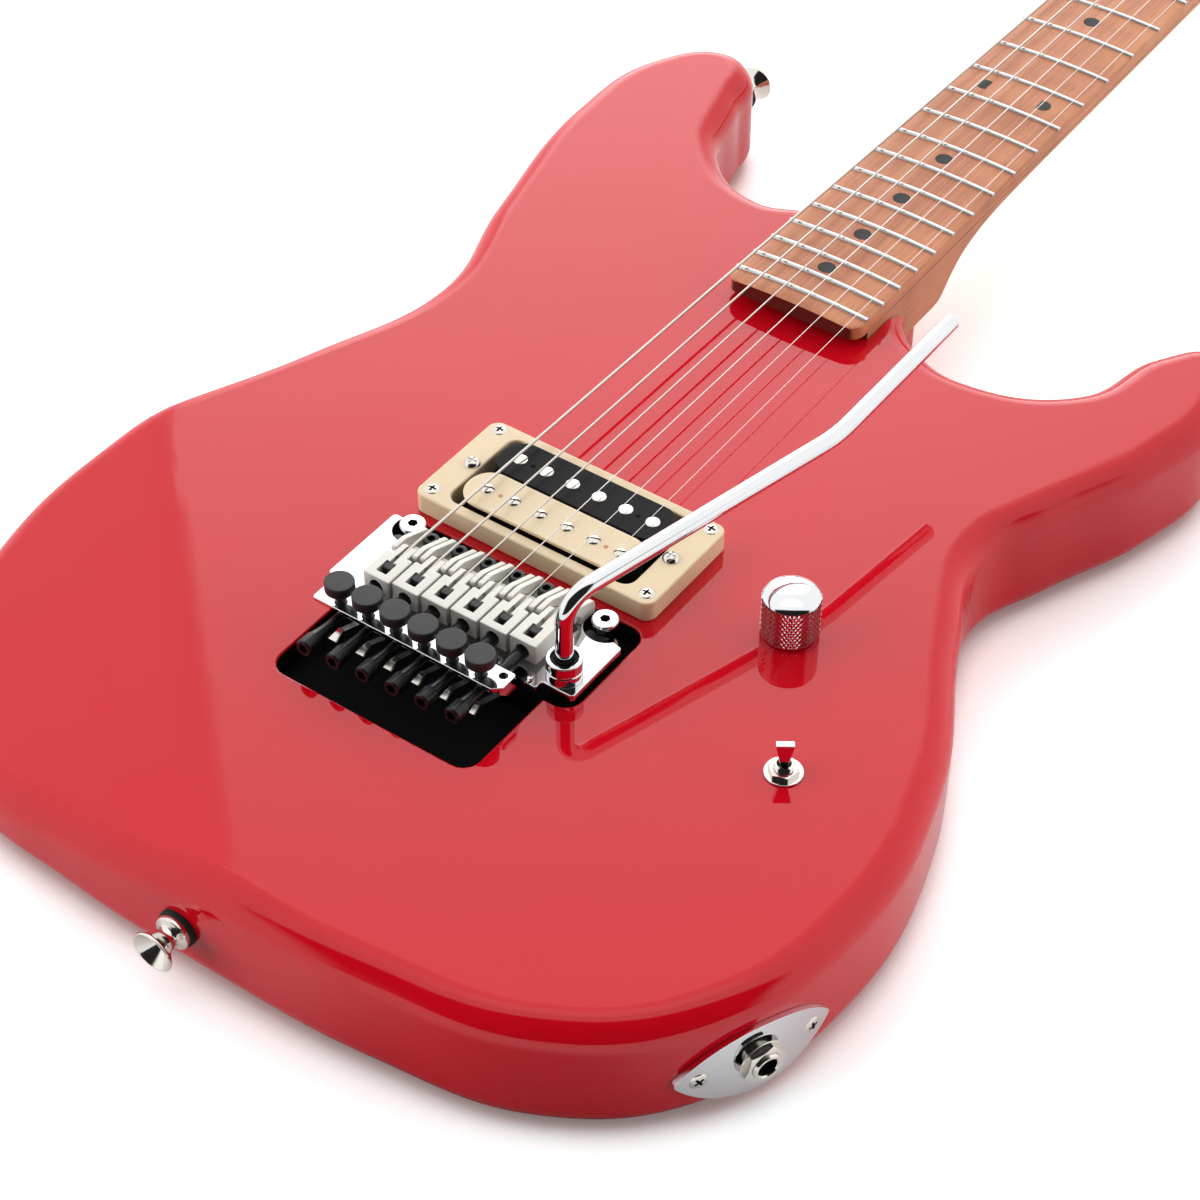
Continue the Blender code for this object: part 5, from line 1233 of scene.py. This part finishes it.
def make_bobbin(name, node, y, finish_name):
    """A coil former: a rounded top flange, the taped coil under it and a lower flange."""
    outline = filleted(rectangle((-33.8, y - 8.6), (33.8, y + 8.6)), 8.0, steps=10)
    flange = soften(prism(name, outline, BOBBIN_TOP - 1.3, BOBBIN_TOP), 0.4)
    foot = prism("foot", outline, BOBBIN_TOP - 15.6, BOBBIN_TOP - 14.2)
    fitted(gathered(name, [flange, foot]), finish_name, node)
    outline = filleted(rectangle((-33, y - 7.8), (33, y + 7.8)), 7.4, steps=10)
    fitted(prism(name + "_tape", outline, BOBBIN_TOP - 14.4, BOBBIN_TOP - 1.2), "black_plastic")


# Controls


def knurl_rule(net, given):
    """Flat-topped diamonds round a skirt: every other row is shifted half a step."""
    grid = net.add("GeometryNodeMeshGrid", {}, {
        "Size X": given["Columns"] - 1.0, "Size Y": given["Rows"] - 1.0,
        "Vertices X": given["Columns"], "Vertices Y": given["Rows"],
    }, "Mesh")
    here = net.add("GeometryNodeInputPosition")
    across, up, _ = net.split(here)
    row = up + (given["Rows"] - 1.0) * 0.5
    column = across + 0.5 * row.maths("FLOORED_MODULO", row + 0.01, 2.0)
    angle = column * (2 * math.pi) / given["Columns"]
    east, north = (given["Radius"] * angle.maths(wave, angle) for wave in ("COSINE", "SINE"))
    spot = net.xyz(east, north, given["Low"] + row * given["Step"])
    points = net.add("GeometryNodeSetPosition", {}, {"Geometry": grid, "Position": spot})
    point = net.add("GeometryNodeMeshCone", {"fill_type": "NGON"}, {
        "Vertices": 4, "Radius Top": given["Point size"] * given["Point flat"],
        "Radius Bottom": given["Point size"], "Depth": given["Point height"],
    }, "Mesh")
    out = net.add("ShaderNodeVectorMath", {"operation": "MULTIPLY"}, {0: here, 1: (1, 1, 0)}, "Vector")
    turn = net.add("FunctionNodeAxesToRotation", {"primary_axis": "Z", "secondary_axis": "X"}, {
        "Primary Axis": out, "Secondary Axis": (0, 0, 1),
    })
    sockets = {"Points": points, "Instance": point, "Rotation": turn, "Scale": given["Point stretch"]}
    return net.add("GeometryNodeInstanceOnPoints", {}, sockets)


def make_knob():
    low, top = TOP + 0.6, TOP + 18.6
    angles = [math.pi / 2 * k / 16 for k in range(17)]
    dome = [(9.55 * math.sin(angle), top - 4.0 * (1 - math.cos(angle))) for angle in angles]
    dome = [(radius, height) for radius, height in dome if height > top - 3.1]
    profile = [
        *dome, (9.0, top - 3.7), (9.0, low + 0.7), (8.8, low), (5.8, low), (5.8, TOP + 3.3), (3.3, TOP + 3.3),
        (3.3, TOP + 13.8), (0, TOP + 13.8),
    ]
    fitted(turned("knob_shell", profile, (*KNOB_PLACE, 0), steps=72), "chrome", "volume_knob", sharp=40)
    sizes = {
        "Columns": 38, "Rows": 13, "Radius": 8.95 * MM, "Low": (low + 1.2) * MM, "Step": 1.08 * MM,
        "Point size": 0.77 * MM, "Point flat": 0.55, "Point height": 0.45 * MM,
        "Point stretch": (1.42, 1.0, 1.0),
    }
    knurl = shifted(grown("knob_knurl", "chrome", sizes, knurl_rule), (*KNOB_PLACE, 0))
    fitted(knurl, "chrome", body="knob", sharp=10, even=False)


def make_toggle():
    place = Vector((*TOGGLE_PLACE, 0))
    turn = Matrix.Rotation(TOGGLE_TURN, 3, "Z")
    ring = washer("toggle_washer", 3.2, 6.05, TOP + 0.02, TOP + 0.7, 0.2)
    low, high = TOP + 0.7, TOP + 2.5
    nut = prism("nut", hexagon(4.9, 0.3), low, high)
    profile = [(0, high), (4.2, high), (5.2, TOP + 1.9), (5.2, low), (0, low)]
    nut = combine(nut, "INTERSECT", [turned("trim", profile)])
    carve(nut, plug("bore", 3.0, TOP, TOP + 3, steps=32))
    threads = [(2.3, TOP + 4.2), (2.9, TOP + 4.2)]
    for k in range(7):
        threads += [(3.1, TOP + 3.95 - 0.5 * k), (2.85, TOP + 3.7 - 0.5 * k)]
    sleeve = turned("sleeve", [(0, TOP), (2.3, TOP + 0.2), *threads, (3.1, 37), (0, 37)], steps=36)
    can = soften(block("can", (-6.5, -4, 26.7), (6.5, 4, 38.7)), 0.4)
    made = gathered("toggle_mount", [ring, nut, sleeve, shifted(can, turn=turn)])
    fitted(shifted(made, place), "bright_nickel", "toggle_switch")
    outline = [(-1.2, -1.2), (1.2, -1.2), (1.2, 2.7), (2.9, 10.9), (-2.9, 10.9), (-1.2, 2.7)]
    outline = filleted(outline, [0.6, 0.6, 2, 0.3, 0.3, 2], steps=4)
    lever = soften(prism("toggle_bat", outline, -1.2, 1.2), 0.25)
    stand = turn @ Matrix.Rotation(math.pi / 2, 3, "X")
    fitted(shifted(lever, place + Vector((0, 0, TOP + 1.5)), stand), "chrome", "toggle_lever")


def make_jack():
    profile = [(0, -18), (3.2, -18), (3.2, 4.8), (3.6, 5.2), (4.4, 5.2), (4.7, 4.9)]
    for k in range(4):
        profile += [(4.45, 4.7 - 0.6 * k), (4.7, 4.4 - 0.6 * k)]
    profile += [(4.7, 1.0), (4.7, -2.0), (8.5, -2.0), (8.5, -24), (0, -24)]
    barrel = turned("barrel", profile, steps=40)
    ring = washer("ring", 4.75, 7.6, 1.85, 2.3, 0.15)
    nut = prism("nut", hexagon(7.3, 0.2), 2.2, 4.3)
    trim = turned("trim", [(0, 4.3), (6.3, 4.3), (7.5, 3.6), (7.5, 2.2), (0, 2.2)])
    nut = combine(nut, "INTERSECT", [trim])
    carve(nut, plug("bore", 4.6, 1, 6, steps=40))
    turn = JACK_AXIS.to_track_quat("Z", "Y").to_matrix()
    made = shifted(gathered("jack_socket", [barrel, ring, nut]), JACK_PLACE, turn)
    fitted(made, "bright_nickel", "output_jack")
    profile = [(0, -17.5), (3.1, -17.5), (3.1, 3.9), (2.9, 3.9), (2.9, -17), (0, -17)]
    lining = turned("jack_lining", profile, steps=32)
    fitted(shifted(lining, JACK_PLACE, turn), "lacquer_black")
    make_jack_plate()


def make_jack_plate():
    """A bent lens-shaped plate that follows the body's side."""
    low, high = JACK_PLACE.z - 16, JACK_PLACE.z + 16
    plate = outline_slab("jack_dish", OUTLINE, low, high, grow=1.8, steps=16)
    carve(plate, outline_slab("inside", OUTLINE, low - 2, high + 2, grow=0.1, steps=16))
    half, rise = 26.5, 13.8
    radius = (half**2 + rise**2) / (2 * rise)
    reach = math.asin(half / radius)
    lens = []
    for side in (1, -1):
        for i in range(24):
            angle = reach * (1 - 2 * i / 24) * side
            lens.append((radius * math.sin(angle), side * (radius * math.cos(angle) - radius + rise)))
    tips = [2.4 if abs(x) > half - 0.01 else 0 for x, _ in lens]
    stencil = prism("stencil", filleted(lens, tips, steps=5), -8, 8)
    stand = Matrix.Rotation(JACK_ANGLE + math.pi / 2, 3, "Z") @ Matrix.Rotation(math.pi / 2, 3, "X")
    combine(plate, "INTERSECT", [shifted(stencil, JACK_PLACE, stand)])
    carve(plate, plug("bore", 5.0, -12, 12, JACK_PLACE, JACK_AXIS))
    fitted(soften(plate, 0.35, 2, 50), "chrome", "jack_plate", sharp=40)
    along = Vector((-JACK_AXIS.y, JACK_AXIS.x, 0))
    places, axes = [], []
    for reach in (-19.0, 19.0):
        start = JACK_PLACE + along * reach + JACK_AXIS * 30
        _, spot, normal, _ = plate.ray_cast(start * MM, -JACK_AXIS)
        places.append(spot / MM)
        axes.append(tuple(normal))
    cross_screws("jack_plate_screws", 2.9, 0.6, places, axes)


def make_strap_buttons():
    profile = [
        (0, 7.4), (1.9, 7.4), (2.4, 7.8), (6.2, 11.6), (6.6, 11.95), (7.0, 11.9), (7.2, 11.5), (7.0, 10.9),
        (4.8, 8.7), (3.8, 7.3), (3.6, 6.0), (3.6, 4.6), (4.2, 3.9), (5.6, 3.6), (6.0, 3.2), (6.0, 1.6),
        (5.7, 1.3), (0, 1.3),
    ]
    pad = filleted([(0, 1.6), (6.6, 1.6), (6.6, -0.6), (0, -0.6)], 0.5, False, 3)
    tail = ("tail", Vector((-7.3, -141.8, 20.5)), (0, -1, 0))
    horn = ("horn", Vector((-110, HEEL_Y + 129.9, 22.8)), (0, 1, 0))
    for end, place, axis in (tail, horn):
        button = turned(f"strap_knob_{end}", profile, place, axis, 56)
        fitted(button, "bright_nickel", f"strap_button_{end}", sharp=45)
        fitted(turned(f"strap_felt_{end}", pad, place, axis, 48), "felt")
        cross_screws(f"strap_screw_{end}", 2.3, 0.9, [place + Vector(axis) * 7.6], axis)


# Tremolo


def make_bridge_plate():
    low, high = TOP + 1.0, PLATE_TOP

    def notch(side, radius, first, last):
        angles = [math.radians(first + (last - first) * k / 14) for k in range(15)]
        return [(side * 38.1 + radius * math.cos(a), 9.3 + radius * math.sin(a)) for a in angles]

    outline = [
        *notch(1, 7.2, 162, 323), (47.6, 4.1), (47.6, -21.6), (36.2, -21.8), (36.0, -25.0),
        (-36.0, -25.0), (-36.2, -21.8), (-47.9, -21.6), (-47.9, 12.3), (-45.0, 12.3),
        *notch(-1, 6.6, 154, 380),
    ]
    radii = [0] * 15 + [0.8, 1.2, 0.8, 0.8, 0.8, 0.8, 1.2, 3.0, 0.8] + [0] * 15
    plate = prism("tremolo_plate", filleted(outline, radii, steps=4), low, high)
    soften(plate, 0.35, 3, 50)
    outline = [(-37.5, -40.8), (31.6, -40.8), (34.2, -38.4), (34.2, -31.5), (-37.5, -31.5)]
    outline = filleted(outline, [1, 0.6, 0.6, 1, 1])
    shelf = soften(prism("shelf", outline, SHELF_TOP - 1.7, SHELF_TOP), 0.3)
    side = [(-39.5, SHELF_TOP - 0.8), (-39.5, SHELF_TOP - 2.4), (-33, TOP + 5), (-26, low + 0.4)]
    side += [(-21, low + 0.4), (-21, high - 0.4), (-24.5, high - 0.3), (-31.8, SHELF_TOP - 0.8)]
    side = filleted(side, [0, 1, 5, 3, 0, 0, 3, 0], steps=4)
    arms = [side_prism("arm", side, left, right) for left, right in ((-37.2, -34.4), (31.2, 33.6))]
    weld(plate, shelf, *arms)
    holes = [(string_x(n, 0) - FINE_TUNER_SHIFT, FINE_TUNER_Y, 2.1) for n in STRINGS]
    holes += [(31.2, -34.2, 1.5), (29.2, -22.6, 1.25), (-29.2, -22.6, 1.25)]
    for x, y, radius in holes:
        carve(plate, plug("hole", radius, 40, 70, (x, y, 0), steps=24))
    fitted(plate, "chrome", "bridge_plate")
    blade = [(1.4, low), (1.4, low + 2.3), (4.4, low + 2.3), (6.2, TOP + 2.3), (4.4, low)]
    blades = [side_prism("blade", blade, end * STUD_X - 3.6, end * STUD_X + 3.6) for end in (-1, 1)]
    fitted(gathered("pivot_blades", blades), "black_steel", body="bridge")
    bead = turned("bead", [(0, 1.4), (0.9, 1.15), (1.35, 0.5), (1.35, -0.5), (0, -0.5)], steps=24)
    places = [(32.6, -23.0, high), (-34.3, -23.0, high)]
    scattered("plate_set_screws", bead, "bright_nickel", places, body="bridge")
    make_leaf_springs()


def make_leaf_springs():
    """Under each saddle's lock screw, a bent strip with a bright flared tip."""
    leaf = [(-21.5, 0.9), (-26, 0.2), (-33, 1.0), (-40, 3.8)]
    leaf += [(-40.2, 3.3), (-33, 0.4), (-26, -0.4), (-21.5, 0.4)]
    leaf = [(y, z + TOP) for y, z in filleted(leaf, [0, 3, 5, 0, 0, 5, 3, 0])]
    leaves, tips = [], []
    for number in STRINGS:
        x = string_x(number, 0) - 0.6
        leaves.append(side_prism("leaf", leaf, x - 1.1, x + 1.1))
        ends = [(x - 1.0, -39.4, 3.9), (x + 1.0, -39.4, 3.9), (x + 1.7, -44.0, 2.5), (x - 1.7, -44.0, 2.5)]
        tips.append(loft("tip", [[(*end[:2], TOP + end[2] - drop) for end in ends] for drop in (0, 0.6)]))
    fitted(gathered("leaf_springs", leaves), "black_oxide", body="bridge")
    fitted(gathered("leaf_spring_tips", tips), "bright_nickel", body="bridge")


def saddle_shape():
    """One string clamp: a block with a square well and a slot, two side prongs and a foot."""

    def raised(*points):
        return [(y, z + TOP) for y, z in points]

    main = soften(block("main", (-5.05, -20.5, TOP + 5.4), (5.05, -8.3, TOP + 13), 0.4), 0.4)
    profile = raised((-9, 7), (-1.8, 7.4), (-1.8, 11.6), (-3.2, 12.7), (-9, 12.9))
    nose = side_prism("nose", filleted(profile, [0, 0.5, 1, 1.5, 0]), -2.9, 2.9)
    profile = raised(
        (-6.6, 13.15), (-0.8, 13.05), (10.0, 8.9), (10.6, 7.4), (10.6, 3.9), (3, 3.9), (3, 7.4), (-1.4, 10.6),
        (-6.6, 10.9),
    )
    profile = filleted(profile, [0.8, 5, 0.7, 0.6, 0.3, 0.3, 2, 4, 0.8], steps=5)
    prongs = [soften(side_prism("prong", profile, x - 0.95, x + 0.95), 0.35) for x in (-4.1, 4.1)]
    profile = raised(
        (-12, 5.5), (3.4, 5.5), (3.4, 4.0), (10.4, 4.0), (10.4, 5.4), (4.2, 5.6), (1.5, 8.4), (-12, 9),
    )
    belly = side_prism("belly", profile, -4.0, 4.0)
    soften(nose, 0.3)
    carve(main, plug("bore", 2.5, -3, 8, (0, -19, TOP + 9.0), (0, 1, 0), 28))
    carve(main, block("well", (-2.0, -17.8, TOP + 6.5), (2.0, -12.2, TOP + 15)))
    for part in (main, nose):
        carve(part, block("slot", (-0.85, -13, TOP + 10.6), (0.85, 0, TOP + 15)))
    return gathered("saddle", [main, nose, belly, *prongs])


def make_saddles():
    first = saddle_shape()
    insert = soften(block("insert", (-1.85, -15.3, TOP + 6.6), (1.85, -12.1, TOP + 12.7), 0.9), 0.5)
    # The black floor in the intonation screw's socket is painted shade.
    cap, floor = hex_head(2.7, TOP + 5.3, TOP + 8.6, 1.45, 0.5)
    for number in STRINGS:
        body = f"saddle_{number}"
        place = (string_x(number, 0) - 0.35, saddle_offset(number), 0)
        ahead = (place[0], place[1] + 7.3, 0)
        fitted(shifted(copied(first, f"saddle_clamp_{number}"), place), "satin_nickel", body, sharp=40)
        fitted(shifted(copied(insert, f"clamp_insert_{number}"), place), "black_steel", body=body)
        fitted(shifted(copied(cap, f"intonation_screw_{number}"), ahead), "black_steel", body=body)
        fitted(shifted(copied(floor, f"intonation_socket_{number}"), ahead), "lacquer_black", body=body)
        make_lock_screw(number, place)
        make_fine_tuner(number)
    for shape in (first, insert, cap, floor):
        bpy.data.objects.remove(shape, do_unlink=True)


def make_lock_screw(number, place):
    """A long clamp screw with a stout head and a six-sided socket."""
    start = Vector((place[0] - 0.5, place[1] - 55.4, TOP + 9.3))
    ahead = Vector((0, 36.5, -1.6)).normalized()
    profile = [
        (0, 0), (2.5, 0), (2.9, 0.5), (2.9, 5.2), (2.55, 5.8), (2.1, 9.0), (1.75, 12.5), (1.75, 27),
        (2.2, 28.5), (2.2, 42), (0, 42),
    ]
    screw = turned(f"lock_screw_{number}", profile, start, ahead, 36)
    turn = ahead.to_track_quat("Z", "Y").to_matrix()
    socket = shifted(prism("socket", hexagon(1.75), -1, 2.6), start, turn)
    fitted(carve(screw, socket), "black_oxide", body=f"saddle_{number}")


def make_fine_tuner(number):
    high = SHELF_TOP + 8.9
    profile = [
        (0, high), (4.8, high), (4.8, high - 3.4), (3.9, high - 4.3), (2.5, high - 4.7), (2.2, high - 6.4),
        (1.8, high - 7.6), (1.8, TOP + 10.7), (0, TOP + 10.7),
    ]
    profile = filleted(profile, [0, 0.4, 0.6, 0.4, 0.5, 0.5, 0.3, 0.2, 0], False, 4)
    place = (string_x(number, 0) - FINE_TUNER_SHIFT, FINE_TUNER_Y, 0)
    screw = turned(f"fine_tuner_screw_{number}", profile, place, steps=48)
    fitted(screw, "black_steel", f"fine_tuner_{number}")


def make_studs():
    profile = [
        (0, 51.9), (4.35, 51.9), (4.35, 50.4), (3.0, 49.1), (2.9, 48.4), (2.9, 40.8), (4.2, 40.8),
        (4.2, 36.8), (2.9, 36.8), (2.9, 12.8), (0, 12.8),
    ]
    profile = filleted(profile, [0, 0.6, 0.5, 0.8, 0.5, 0.2, 0.3, 0.2, 0, 0.5, 0], False, 4)
    places = [(side * STUD_X, STUD_Y, 0) for side in (-1, 1)]
    for end, place in zip(("bass", "treble"), places):
        stud = turned(f"stud_{end}", profile, place, steps=56)
        carve(stud, shifted(prism("socket", hexagon(1.75, 0.4), 49.6, 53), place))
        fitted(stud, "chrome", f"pivot_stud_{end}")
    # A black floor in each socket is painted shade.
    floor = prism("floor", hexagon(1.72, 0.4), 49.4, 49.75)
    scattered("stud_sockets", floor, "lacquer_black", places)


def make_arm():
    corners = [(0, 0, 3.95), (0, 0, 35.2), (29.0, 105.6, 40.2), (32.4, 170.4, 46.1)]
    path = filleted(corners, [0, 10.5, 60, 0], False, 14)
    tip = (path[-1] - path[-2]).normalized()
    path = [path[0], path[0] + Vector((0, 0, 10)), *path[1:-1], path[-1] - tip * 0.5, path[-1]]
    radii = [2.9] * (len(path) - 1) + [2.5]
    arm = tube("tremolo_bar", [ARM_PLACE + place for place in path], radii, 28)
    fitted(arm, "chrome", "tremolo_arm", sharp=50)
    low = PLATE_TOP + 0.05
    profile = [
        (3.2, 0), (5.9, 0), (5.9, 3.4), (5.55, 3.6), (5.55, 3.85), (5.85, 4.1), (5.85, 7.9), (4.5, 7.9),
        (4.3, 6.6), (3.2, 6.6), (3.2, 0),
    ]
    profile = [(radius, low + height) for radius, height in profile]
    profile = filleted(profile, [0, 0.2, 0.2, 0.1, 0.1, 0.3, 0.5, 0.2, 0, 0, 0], False, 3)
    fitted(turned("arm_socket", profile, (*ARM_PLACE.xy, 0), steps=64), "chrome", "arm_collar")
    bush = washer("arm_bush", 3.05, 4.25, low + 5.6, low + 7.1, 0.25, place=(*ARM_PLACE.xy, 0))
    fitted(bush, "black_plastic", body=frame["nodes"]["arm_collar"]["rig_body"])


def coil_rule(net, given):
    helix = net.add("GeometryNodeCurveSpiral", {}, {
        "Resolution": 14, "Rotations": given["Turns"], "Start Radius": given["Radius"],
        "End Radius": given["Radius"], "Height": given["Length"],
    })
    sockets = {"Resolution": 8, "Radius": given["Wire"]}
    bead = net.add("GeometryNodeCurvePrimitiveCircle", {}, sockets, "Curve")
    wire = net.add("GeometryNodeCurveToMesh", {}, {"Curve": helix, "Profile Curve": bead, "Fill Caps": True})
    return net.add("GeometryNodeTransform", {}, {"Geometry": wire, "Rotation": (-math.pi / 2, 0, 0)})


def make_springs():
    sizes = {"Turns": 38.0, "Radius": 3.5 * MM, "Length": 88 * MM, "Wire": SPRING_WIRE * MM}
    for number, x in ((1, SPRING_X), (2, -SPRING_X)):
        coil = shifted(grown("coil", "string_plain", sizes, coil_rule), (x, 11, SPRING_Z))
        hooks = []
        for eye, neck, end in ((6.4, 9, 11), (103.6, 101, 99)):
            path = [(x, eye, SPRING_Z), (x, neck, SPRING_Z), (x + 3.5, end, SPRING_Z)]
            hooks.append(tube("hook", path, SPRING_WIRE, 8))
        spring = gathered(f"spring_coil_{number}", [coil, *hooks])
        fitted(spring, "string_plain", f"tremolo_spring_{number}", body="blend", even=False, sharp=60)
        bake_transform(spring)


# Back


def make_back():
    """The neck plate and both covers, with their screws."""
    plate = block("neck_bolt_plate", (-26, HEEL_Y + 5, COVER_LOW), (16, HEEL_Y + 49, COVER_HIGH), 5, 0.5, 8)
    fitted(plate, "chrome", "neck_plate")
    bolts = [(x, y, SCREW_SINK) for x in (-20.5, 10.5) for y in (HEEL_Y + 10.5, HEEL_Y + 43.5)]
    cross_screws("neck_screws", 4.3, 0.3, bolts, (0, 0, -1), "chrome")
    cover = block("spring_room_cover", (-39.5, -32, COVER_LOW), (39.5, 124, COVER_HIGH), 5, 0.4, 8)
    for number in STRINGS:
        x = string_x(number, 0)
        outline = filleted(rectangle((x - 3.2, -9), (x + 3.2, 9)), 3.1)
        carve(cover, prism("window", outline, -1, 3))
    fitted(cover, "black_plastic", "spring_cover")
    ends = [(x, y, SCREW_SINK) for x in (-35.5, 35.5) for y in (-28, 22, 72, 120)]
    cross_screws("spring_cover_screws", 2.6, 0.3, ends, (0, 0, -1))
    cover = outline_slab("control_room_cover", CONTROL_OUTLINE, COVER_LOW, COVER_HIGH, grow=6.0, steps=14)
    fitted(soften(cover, 0.4), "black_plastic", "control_cover")
    ends = ((63.5, 59.5), (99, 64.5), (136.5, -22), (125, -60.5), (97, -64), (71.5, -14))
    cross_screws("control_cover_screws", 2.6, 0.3, [(*end, SCREW_SINK) for end in ends], (0, 0, -1))


def dress_hidden_frame():
    """CAD nodes whose shape is right: only their finish changes."""
    for node in ("truss_rod", "volume_pot", "spring_claw", "sustain_block"):
        item = frame["nodes"][node]
        item.data.materials.clear()
        item.data.materials.append(FINISHES["cast_zinc"])


# Studio


def make_camera():
    azimuth, elevation = math.radians(CAMERA_AZIMUTH), math.radians(CAMERA_ELEVATION)
    back = Vector((
        math.sin(azimuth) * math.cos(elevation), -math.cos(azimuth) * math.cos(elevation), math.sin(elevation)
    ))
    right = (-back).cross(Vector((0, 0, 1))).normalized()
    up = right.cross(-back)
    roll = math.radians(CAMERA_ROLL)
    side = right * math.cos(roll) + up * math.sin(roll)
    rise = up * math.cos(roll) - right * math.sin(roll)
    lens = bpy.data.cameras.new("camera")
    lens.lens = CAMERA_LENS
    lens.sensor_width = CAMERA_SENSOR
    lens.clip_start, lens.clip_end = 0.01, 100
    camera = add_object("camera", lens)
    turn = Matrix((side, rise, back)).transposed().to_4x4()
    camera.matrix_world = Matrix.Translation(Vector(CAMERA_PLACE) * MM) @ turn
    SCENE.camera = camera


def ray_kinds(net):
    paths = net.add("ShaderNodeLightPath").socket.node.outputs
    seen = Signal(net, paths["Is Camera Ray"])
    mirrored = Signal(net, paths["Is Glossy Ray"])
    return seen, mirrored + Signal(net, paths["Is Transmission Ray"])


def make_studio():
    """A white tent that is brightest behind the guitar, with a dark opening round the camera."""
    SCENE.view_settings.view_transform = "Standard"
    world = bpy.data.worlds.new("studio")
    world.use_nodes = True
    SCENE.world = world
    net = Net(world.node_tree)
    seen, mirrored = ray_kinds(net)
    ahead = net.add("ShaderNodeTexCoord", output="Generated")
    azimuth = math.radians(CAMERA_AZIMUTH)
    step = net.step
    far = net.measure("DOT_PRODUCT", ahead, (-math.sin(azimuth), math.cos(azimuth), 0))
    side = net.measure("DOT_PRODUCT", ahead, (math.cos(azimuth), math.sin(azimuth), 0))
    up = net.measure("DOT_PRODUCT", ahead, (0, 0, 1))
    wall = step(far, 0.50, 1.0) * step(side, -0.32, -0.13) * (1.0 - step(side, 0.10, 0.47))
    panel = step(up, 0.90, 0.97) * step(far, -0.05, 0.10)
    opening = step(far, -0.22, -0.32) * (1.0 - step(side * side, 0.52, 0.76))
    closed = 1.0 - OPENING_DARKNESS * opening
    tent = (TENT_BASE + TENT_WALL * wall + TENT_PANEL * panel) * closed
    left = step(side, -0.64, -0.94) * (1.0 - step(up, 0.50, 0.80))
    right = step(side, 0.50, 0.88) * (1.0 - step(up, 0.30, 0.60))
    soft = TENT_SOFT * tent + TENT_LEFT * left + TENT_RIGHT * right
    strength = seen + mirrored * tent + (1.0 - seen - mirrored) * soft
    glow = net.add("ShaderNodeBackground", {}, {"Color": (1, 1, 1, 1), "Strength": strength})
    end = world.node_tree.nodes.new("ShaderNodeOutputWorld")
    world.node_tree.links.new(glow.socket, end.inputs["Surface"])
    make_floor()
    make_lamp()


def make_lamp():
    """A soft lamp behind the neck that lifts the far half of the top and leaves no reflection."""
    light = bpy.data.lights.new("back_lamp", "AREA")
    light.energy = LAMP_POWER
    light.size = LAMP_SIZE
    lamp = add_object("back_lamp", light)
    turn = (LAMP_PLACE - LAMP_AIM).to_track_quat("Z", "Y").to_matrix().to_4x4()
    lamp.matrix_world = Matrix.Translation(LAMP_PLACE) @ turn
    lamp.visible_glossy = False
    lamp.visible_camera = False


def make_floor():
    """A white floor that is seen only from above and lets light reach the back of what rests on it. The
    camera sees a painted reddish contact shadow next to what rests on it, through a gain a little lower in
    red that pales the red light bounced onto the floor. Reflections and bounced light see a painted shade on
    the floor in front of the tail.
    """
    made = bpy.data.materials.new("floor_white")
    made.use_nodes = True
    net = Net(made.node_tree)
    seen, mirrored = ray_kinds(net)
    mottle = net.noise(net.place(), 3.0, 2.0)
    white = net.mix(mottle, (0.72, 0.72, 0.72, 1), (0.75, 0.75, 0.75, 1))
    white = net.mix(mirrored, white, (0.92, 0.92, 0.92, 1))
    # Painted shade: in reflections and bounced light, the floor darkens towards a spot in front of the tail.
    away = net.measure("DISTANCE", net.place(), FLOOR_SHADE_PLACE)
    reach = net.step(away, 0.03, 0.09, FLOOR_SHADE_SHARE, 0.0)
    # Ambient occlusion paints a reddish contact shadow on the floor that the camera sees.
    shade = net.add("ShaderNodeAmbientOcclusion", {"samples": 8}, {"Distance": CONTACT_SHADOW_REACH}, "AO")
    clear_of_contact_shadow = net.step(shade, 0.25, 0.75)
    lit = net.mix(seen, white, net.mix(clear_of_contact_shadow, CONTACT_SHADOW_COLOUR, FLOOR_GAIN))
    paint = net.add("ShaderNodeBsdfDiffuse", {}, {"Color": net.mix(reach * (1.0 - seen), lit, (0, 0, 0, 1))})
    shine = net.add("ShaderNodeEmission", {}, {"Color": (1, 1, 1, 1), "Strength": FLOOR_SHINE})
    top = net.add("ShaderNodeMixShader", {}, {0: FLOOR_SHARE * seen, 1: paint, 2: shine})
    under = net.add("ShaderNodeNewGeometry", output="Backfacing")
    travel = net.add("ShaderNodeLightPath", output="Ray Length")
    touching = (1.0 - travel.above(0.001)) * (1.0 - seen)
    under = under.maths("MAXIMUM", under, touching)
    clear = net.add("ShaderNodeBsdfTransparent")
    surface = net.add("ShaderNodeMixShader", {}, {0: under, 1: top, 2: clear})
    end = made.node_tree.nodes.new("ShaderNodeOutputMaterial")
    made.node_tree.links.new(surface.socket, end.inputs["Surface"])
    corners = [(*place, 0) for place in rectangle((-FLOOR_HALF, -FLOOR_HALF), (FLOOR_HALF, FLOOR_HALF))]
    floor = from_lists("floor", corners, [[0, 1, 2, 3]])
    floor.data.materials.append(made)


make_camera()
make_body()
make_neck()
make_board()
make_frets()
make_dots()
make_nut()
make_string_retainer()
make_tuners()
make_pickup()
make_knob()
make_toggle()
make_jack()
make_strap_buttons()
make_bridge_plate()
make_saddles()
make_studs()
make_arm()
make_springs()
make_back()
for string_number in STRINGS:
    make_string(string_number)
dress_hidden_frame()
make_studio()
